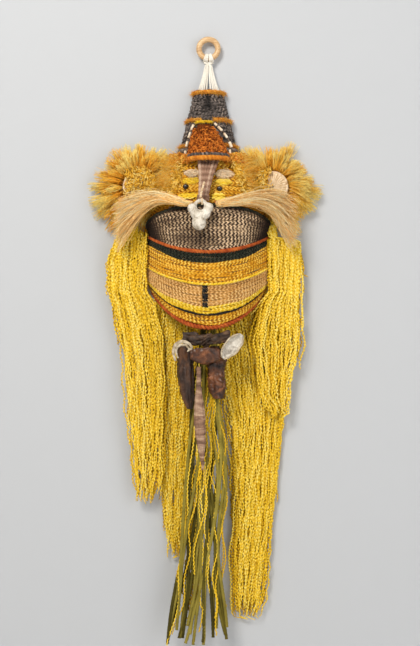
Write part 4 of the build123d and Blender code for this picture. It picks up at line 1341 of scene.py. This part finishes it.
def lying_husk(name, node, slot, material, centre, tilt, size, arc_deg, seed, widths):
    """A pod lying across: a sheet curved round a tilted axis.

    Its arc is measured from the front (0), with -90 below and 90 above. size is (length, radius, depth).
    """
    length, radius, depth = size
    along = np.array([math.cos(tilt), 0, math.sin(tilt)])
    over = np.array([-math.sin(tilt), 0, math.cos(tilt)])
    t = np.linspace(0, 1, 70)[:, None]
    angle = np.radians(np.linspace(arc_deg[0], arc_deg[1], 44))[None]
    profile = np.interp(t[:, 0], np.linspace(0, 1, len(widths)), widths)[:, None]
    rise = (radius * profile * np.sin(angle))[..., None]
    grid = centre + (t - 0.5)[..., None] * length * along + rise * over
    grid[..., 1] -= depth * profile * np.cos(angle)
    ripple = 0.10 * radius * (noise(grid, 30 * MM, seed) + 0.4 * noise(grid, 9 * MM, seed + 1))
    grid = grid + ripple[..., None] * (over - BACKWARD) * 0.7
    place(sheet(name, grid, 0.5, material, 1.8 * MM), "mask", slot, node)
    return grid


def pod_lip():
    """The pale rim of the dark pod's open top, curled over in an upturned U with a second edge inside it."""
    low, high = corners("pod_dark")
    middle = np.array([(low[0] + high[0]) / 2 - 4 * MM, low[1] + 2 * MM, high[2]])
    left = [(-15, 2, -36), (-20, 0, -20), (-17, -3, -4)]
    right = [(-6, -4, 4), (8, -4, 3), (18, -3, -7), (15, -1, -15)]
    curl = np.array(left + right) * MM
    rims = (("pod_lip_outer", 1.0, 0, 3.4, 134), ("pod_lip_inner", 0.72, -5, 2.4, 135))
    for name, scale, drop, thickness, seed in rims:
        path = middle + resample(curl * scale, 70) + np.array([0, -1, drop]) * MM
        path = path + 1.0 * MM * noise(path, 18 * MM, seed)[:, None] * (ACROSS + UP)
        swell = thickness * MM * (0.55 + 0.6 * np.sin(np.linspace(0.2, math.pi - 0.1, 70)))
        piece = strands(name, path[None], swell[None], 0.6, HUSK_LIP, sides=12, squeeze=0.6)
        place(piece, "pod_dark", "pod_pale")


def husk_tie():
    """Crinkled dark strips of husk gathered under the chin and knotted in the middle."""
    low, high = corners("pod_tie")
    line = []
    for x in np.linspace(low[0] + 2 * MM, high[0] - 2 * MM, 9):
        cut = node_slice("pod_tie", 0, x)
        line.append((cut.min(axis=0) + cut.max(axis=0)) / 2)
    line = resample(line, 120)
    rng = np.random.default_rng(130)
    paths = []
    radii = []
    for step in range(7):
        path = line + np.array([0, rng.uniform(-4, 3), rng.uniform(-9, 8)]) * MM
        path[:, 2] += 5 * MM * noise(path, 60 * MM, 140 + step)
        path[:, 1] += 3 * MM * noise(path, 50 * MM, 150 + step)
        paths.append(path)
        radii.append(5.5 * MM * (1 + 0.35 * noise(path, 22 * MM, 160 + step)))
    paths = np.array(paths)
    radii = np.array(radii)
    strips = strands("husk_strips", paths, radii, 0.5, TIE_HUSK, sides=12, lobes=0.15, turns=2, squeeze=0.6)
    place(strips, "mask", "pod_brown", "pod_tie")
    middle = line[int(0.52 * (len(line) - 1))] + np.array([0, -4, -4]) * MM
    turn = np.linspace(0, 3.2 * FULL_TURN, 130)
    drift = np.linspace(-0.3, 0.3, len(turn))
    coil = np.stack([0.45 * np.cos(turn) + drift, 0.7 * np.sin(turn), np.cos(turn + 0.9)], axis=-1)
    coil = middle + 12 * MM * coil
    knot = rope("tie_knot", coil, 4.2 * MM, 0.6, TIE_HUSK, pitch=20 * MM, sides=8, seed=132)
    place(knot, "mask", "pod_brown")


def pods():
    """The cluster of dry seed pods under the chin and the husk strips that tie it."""
    husk_tie()
    widths = [0.9, 1.0, 0.95, 0.97, 0.95, 0.85, 0.68, 0.3]
    husk("dark_pod", "pod_dark", HUSK, widths, 118, 133, lean=5 * MM)
    pod_lip()
    widths = [0.35, 0.40, 0.55, 0.85, 1.0, 0.95, 0.75, 0.40, 0.12]
    husk("slender_pod", "pod_slender", PINK_HUSK, widths, 125, 135, crumple=0.06)
    widths = [0.6, 0.85, 1.0, 0.9, 1.0, 0.85, 0.5]
    husk("crumpled_pod", "pod_crumpled", RED_HUSK, widths, 110, 136, crumple=0.22)
    low, high = corners("pod_half_tube")
    size = (high[0] - low[0], high[2] - low[2], 0.5 * (high[1] - low[1]))
    middle = (low + high) / 2
    middle[2] = high[2]
    widths = [0.55, 0.85, 1.0, 1.0, 0.9, 0.7]
    arc = (-150, 25)
    lying_husk("half_tube_pod", "pod_half_tube", "pod_brown", RED_HUSK, middle, 0.0, size, arc, 137, widths)
    middle = sum(corners("pod_shell")) / 2
    size = (64 * MM, 15 * MM, 12 * MM)
    tilt = math.radians(50)
    widths = [0.2, 0.7, 0.95, 1.0, 0.95, 0.75, 0.25]
    arc = (95, 265)
    name = "pale_shell_pod"
    grid = lying_husk(name, "pod_shell", "pod_pale", PALE_HUSK, middle, tilt, size, arc, 138, widths)
    for name, edge in (("shell_rim_low", grid[:, 0]), ("shell_rim_high", grid[:, -1])):
        rim = strands(name, resample(edge[::5], 60)[None], 2.0 * MM, 0.7, HUSK_LIP, sides=8)
        place(rim, "mask", "pod_pale")


# Cane and thread ----------------------------------------------------------------------------------


def plain_parts():
    """The cane hoop and slats and the bead threads keep their CAD shape."""
    materials = {
        "cane_hoop": CANE,
        "back_spreader_upper": CANE,
        "back_spreader_lower": CANE,
        "bead_thread_left": THREAD,
        "bead_thread_right": THREAD,
    }
    for node, material in materials.items():
        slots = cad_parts[node].data.materials
        slots.clear()
        slots.append(material)


# Staging ------------------------------------------------------------------------------------------


WALL_GAP = 1.5 * MM
FLOOR_DROP = 0.09
LIGHT_AIM = (0, 0, -0.55)
CAMERA_PLACE = (0.0033, -2.588, -0.6006)
CAMERA_LENS = 65.8


def one_way_material(name, colour):
    """A matt surface that is only there when it is seen from its front."""
    material, tree, shader = start_material(name)
    shader.inputs["Base Color"].default_value = (*colour, 1)
    shader.inputs["Roughness"].default_value = 0.9
    geometry = tree.nodes.new("ShaderNodeNewGeometry")
    clear = tree.nodes.new("ShaderNodeBsdfTransparent")
    mix = tree.nodes.new("ShaderNodeMixShader")
    link = tree.links.new
    link(geometry.outputs["Backfacing"], mix.inputs["Fac"])
    link(shader.outputs["BSDF"], mix.inputs[1])
    link(clear.outputs["BSDF"], mix.inputs[2])
    link(mix.outputs["Shader"], tree.nodes["Material Output"].inputs["Surface"])
    return material


def plane(name, places, material):
    """A flat four-cornered stage surface that lets light through from behind."""
    mesh = bpy.data.meshes.new(name)
    mesh.from_pydata(places, [], [(0, 1, 2, 3)])
    mesh.materials.append(material)
    piece = bpy.data.objects.new(name, mesh)
    bpy.context.scene.collection.objects.link(piece)
    piece.visible_shadow = False


def area_light(name, location, size, power, colour):
    """A soft square light aimed at the middle of the mask."""
    data = bpy.data.lights.new(name, "AREA")
    data.size = size
    data.energy = power
    data.color = colour
    light = bpy.data.objects.new(name, data)
    bpy.context.scene.collection.objects.link(light)
    light.location = location
    aim = bpy.data.objects.new(name + "_aim", None)
    aim.location = LIGHT_AIM
    bpy.context.scene.collection.objects.link(aim)
    follow = light.constraints.new("TRACK_TO")
    follow.target = aim
    follow.track_axis = "TRACK_NEGATIVE_Z"
    follow.up_axis = "UP_Y"


def stage():
    """A pale wall behind the mask, a pale floor, soft studio light and a level camera in front."""
    low, high = cad_box
    wall_y = high[1] + WALL_GAP
    floor_z = low[2] - FLOOR_DROP
    front_y = -4
    top_z = 2
    side = 3
    wall = one_way_material("wall_paint", (0.482, 0.512, 0.562))
    floor = one_way_material("floor_paint", (0.80, 0.78, 0.75))
    foot = [(-side, wall_y, floor_z), (side, wall_y, floor_z)]
    plane("wall", foot + [(side, wall_y, top_z), (-side, wall_y, top_z)], wall)
    plane("floor", [(-side, front_y, floor_z), (side, front_y, floor_z)] + foot[::-1], floor)
    area_light("key", (-1.0, -2.5, 1.3), 1.1, 92, (1.0, 0.94, 0.84))
    area_light("fill", (1.9, -2.2, -0.2), 2.0, 26, (1.0, 0.96, 0.90))
    area_light("back", (0.8, 2.4, 0.4), 2.0, 34, (1.0, 0.97, 0.93))
    scene = bpy.context.scene
    scene.world = bpy.data.worlds.new("studio")
    scene.world.use_nodes = True
    set_inputs(scene.world.node_tree.nodes["Background"], Color=(1.0, 0.97, 0.93, 1), Strength=0.32)
    scene.view_settings.view_transform = "Standard"

    camera_data = bpy.data.cameras.new("camera")
    camera_data.sensor_width = 36
    camera_data.lens = CAMERA_LENS
    camera = bpy.data.objects.new("camera", camera_data)
    scene.collection.objects.link(camera)
    camera.location = CAMERA_PLACE
    camera.rotation_euler = (math.radians(90), 0, 0)
    scene.camera = camera


hanging_ring()
ring_lashing()
hanging_cords()
hat()
forehead_flap()
bead_strings()
face()
mouth_and_chin()
ear_disc("left", -1, 91, 0.70)
ear_disc("right", 1, 94, -0.35)
ear_tuft("left", 42, 292, 97)
ear_tuft("right", 138, -112, 98)
moustache("left", -1, 77)
moustache("right", 1, 87)
pendant_cord()
carved_pendant()
beard()
pods()
plain_parts()
stage()
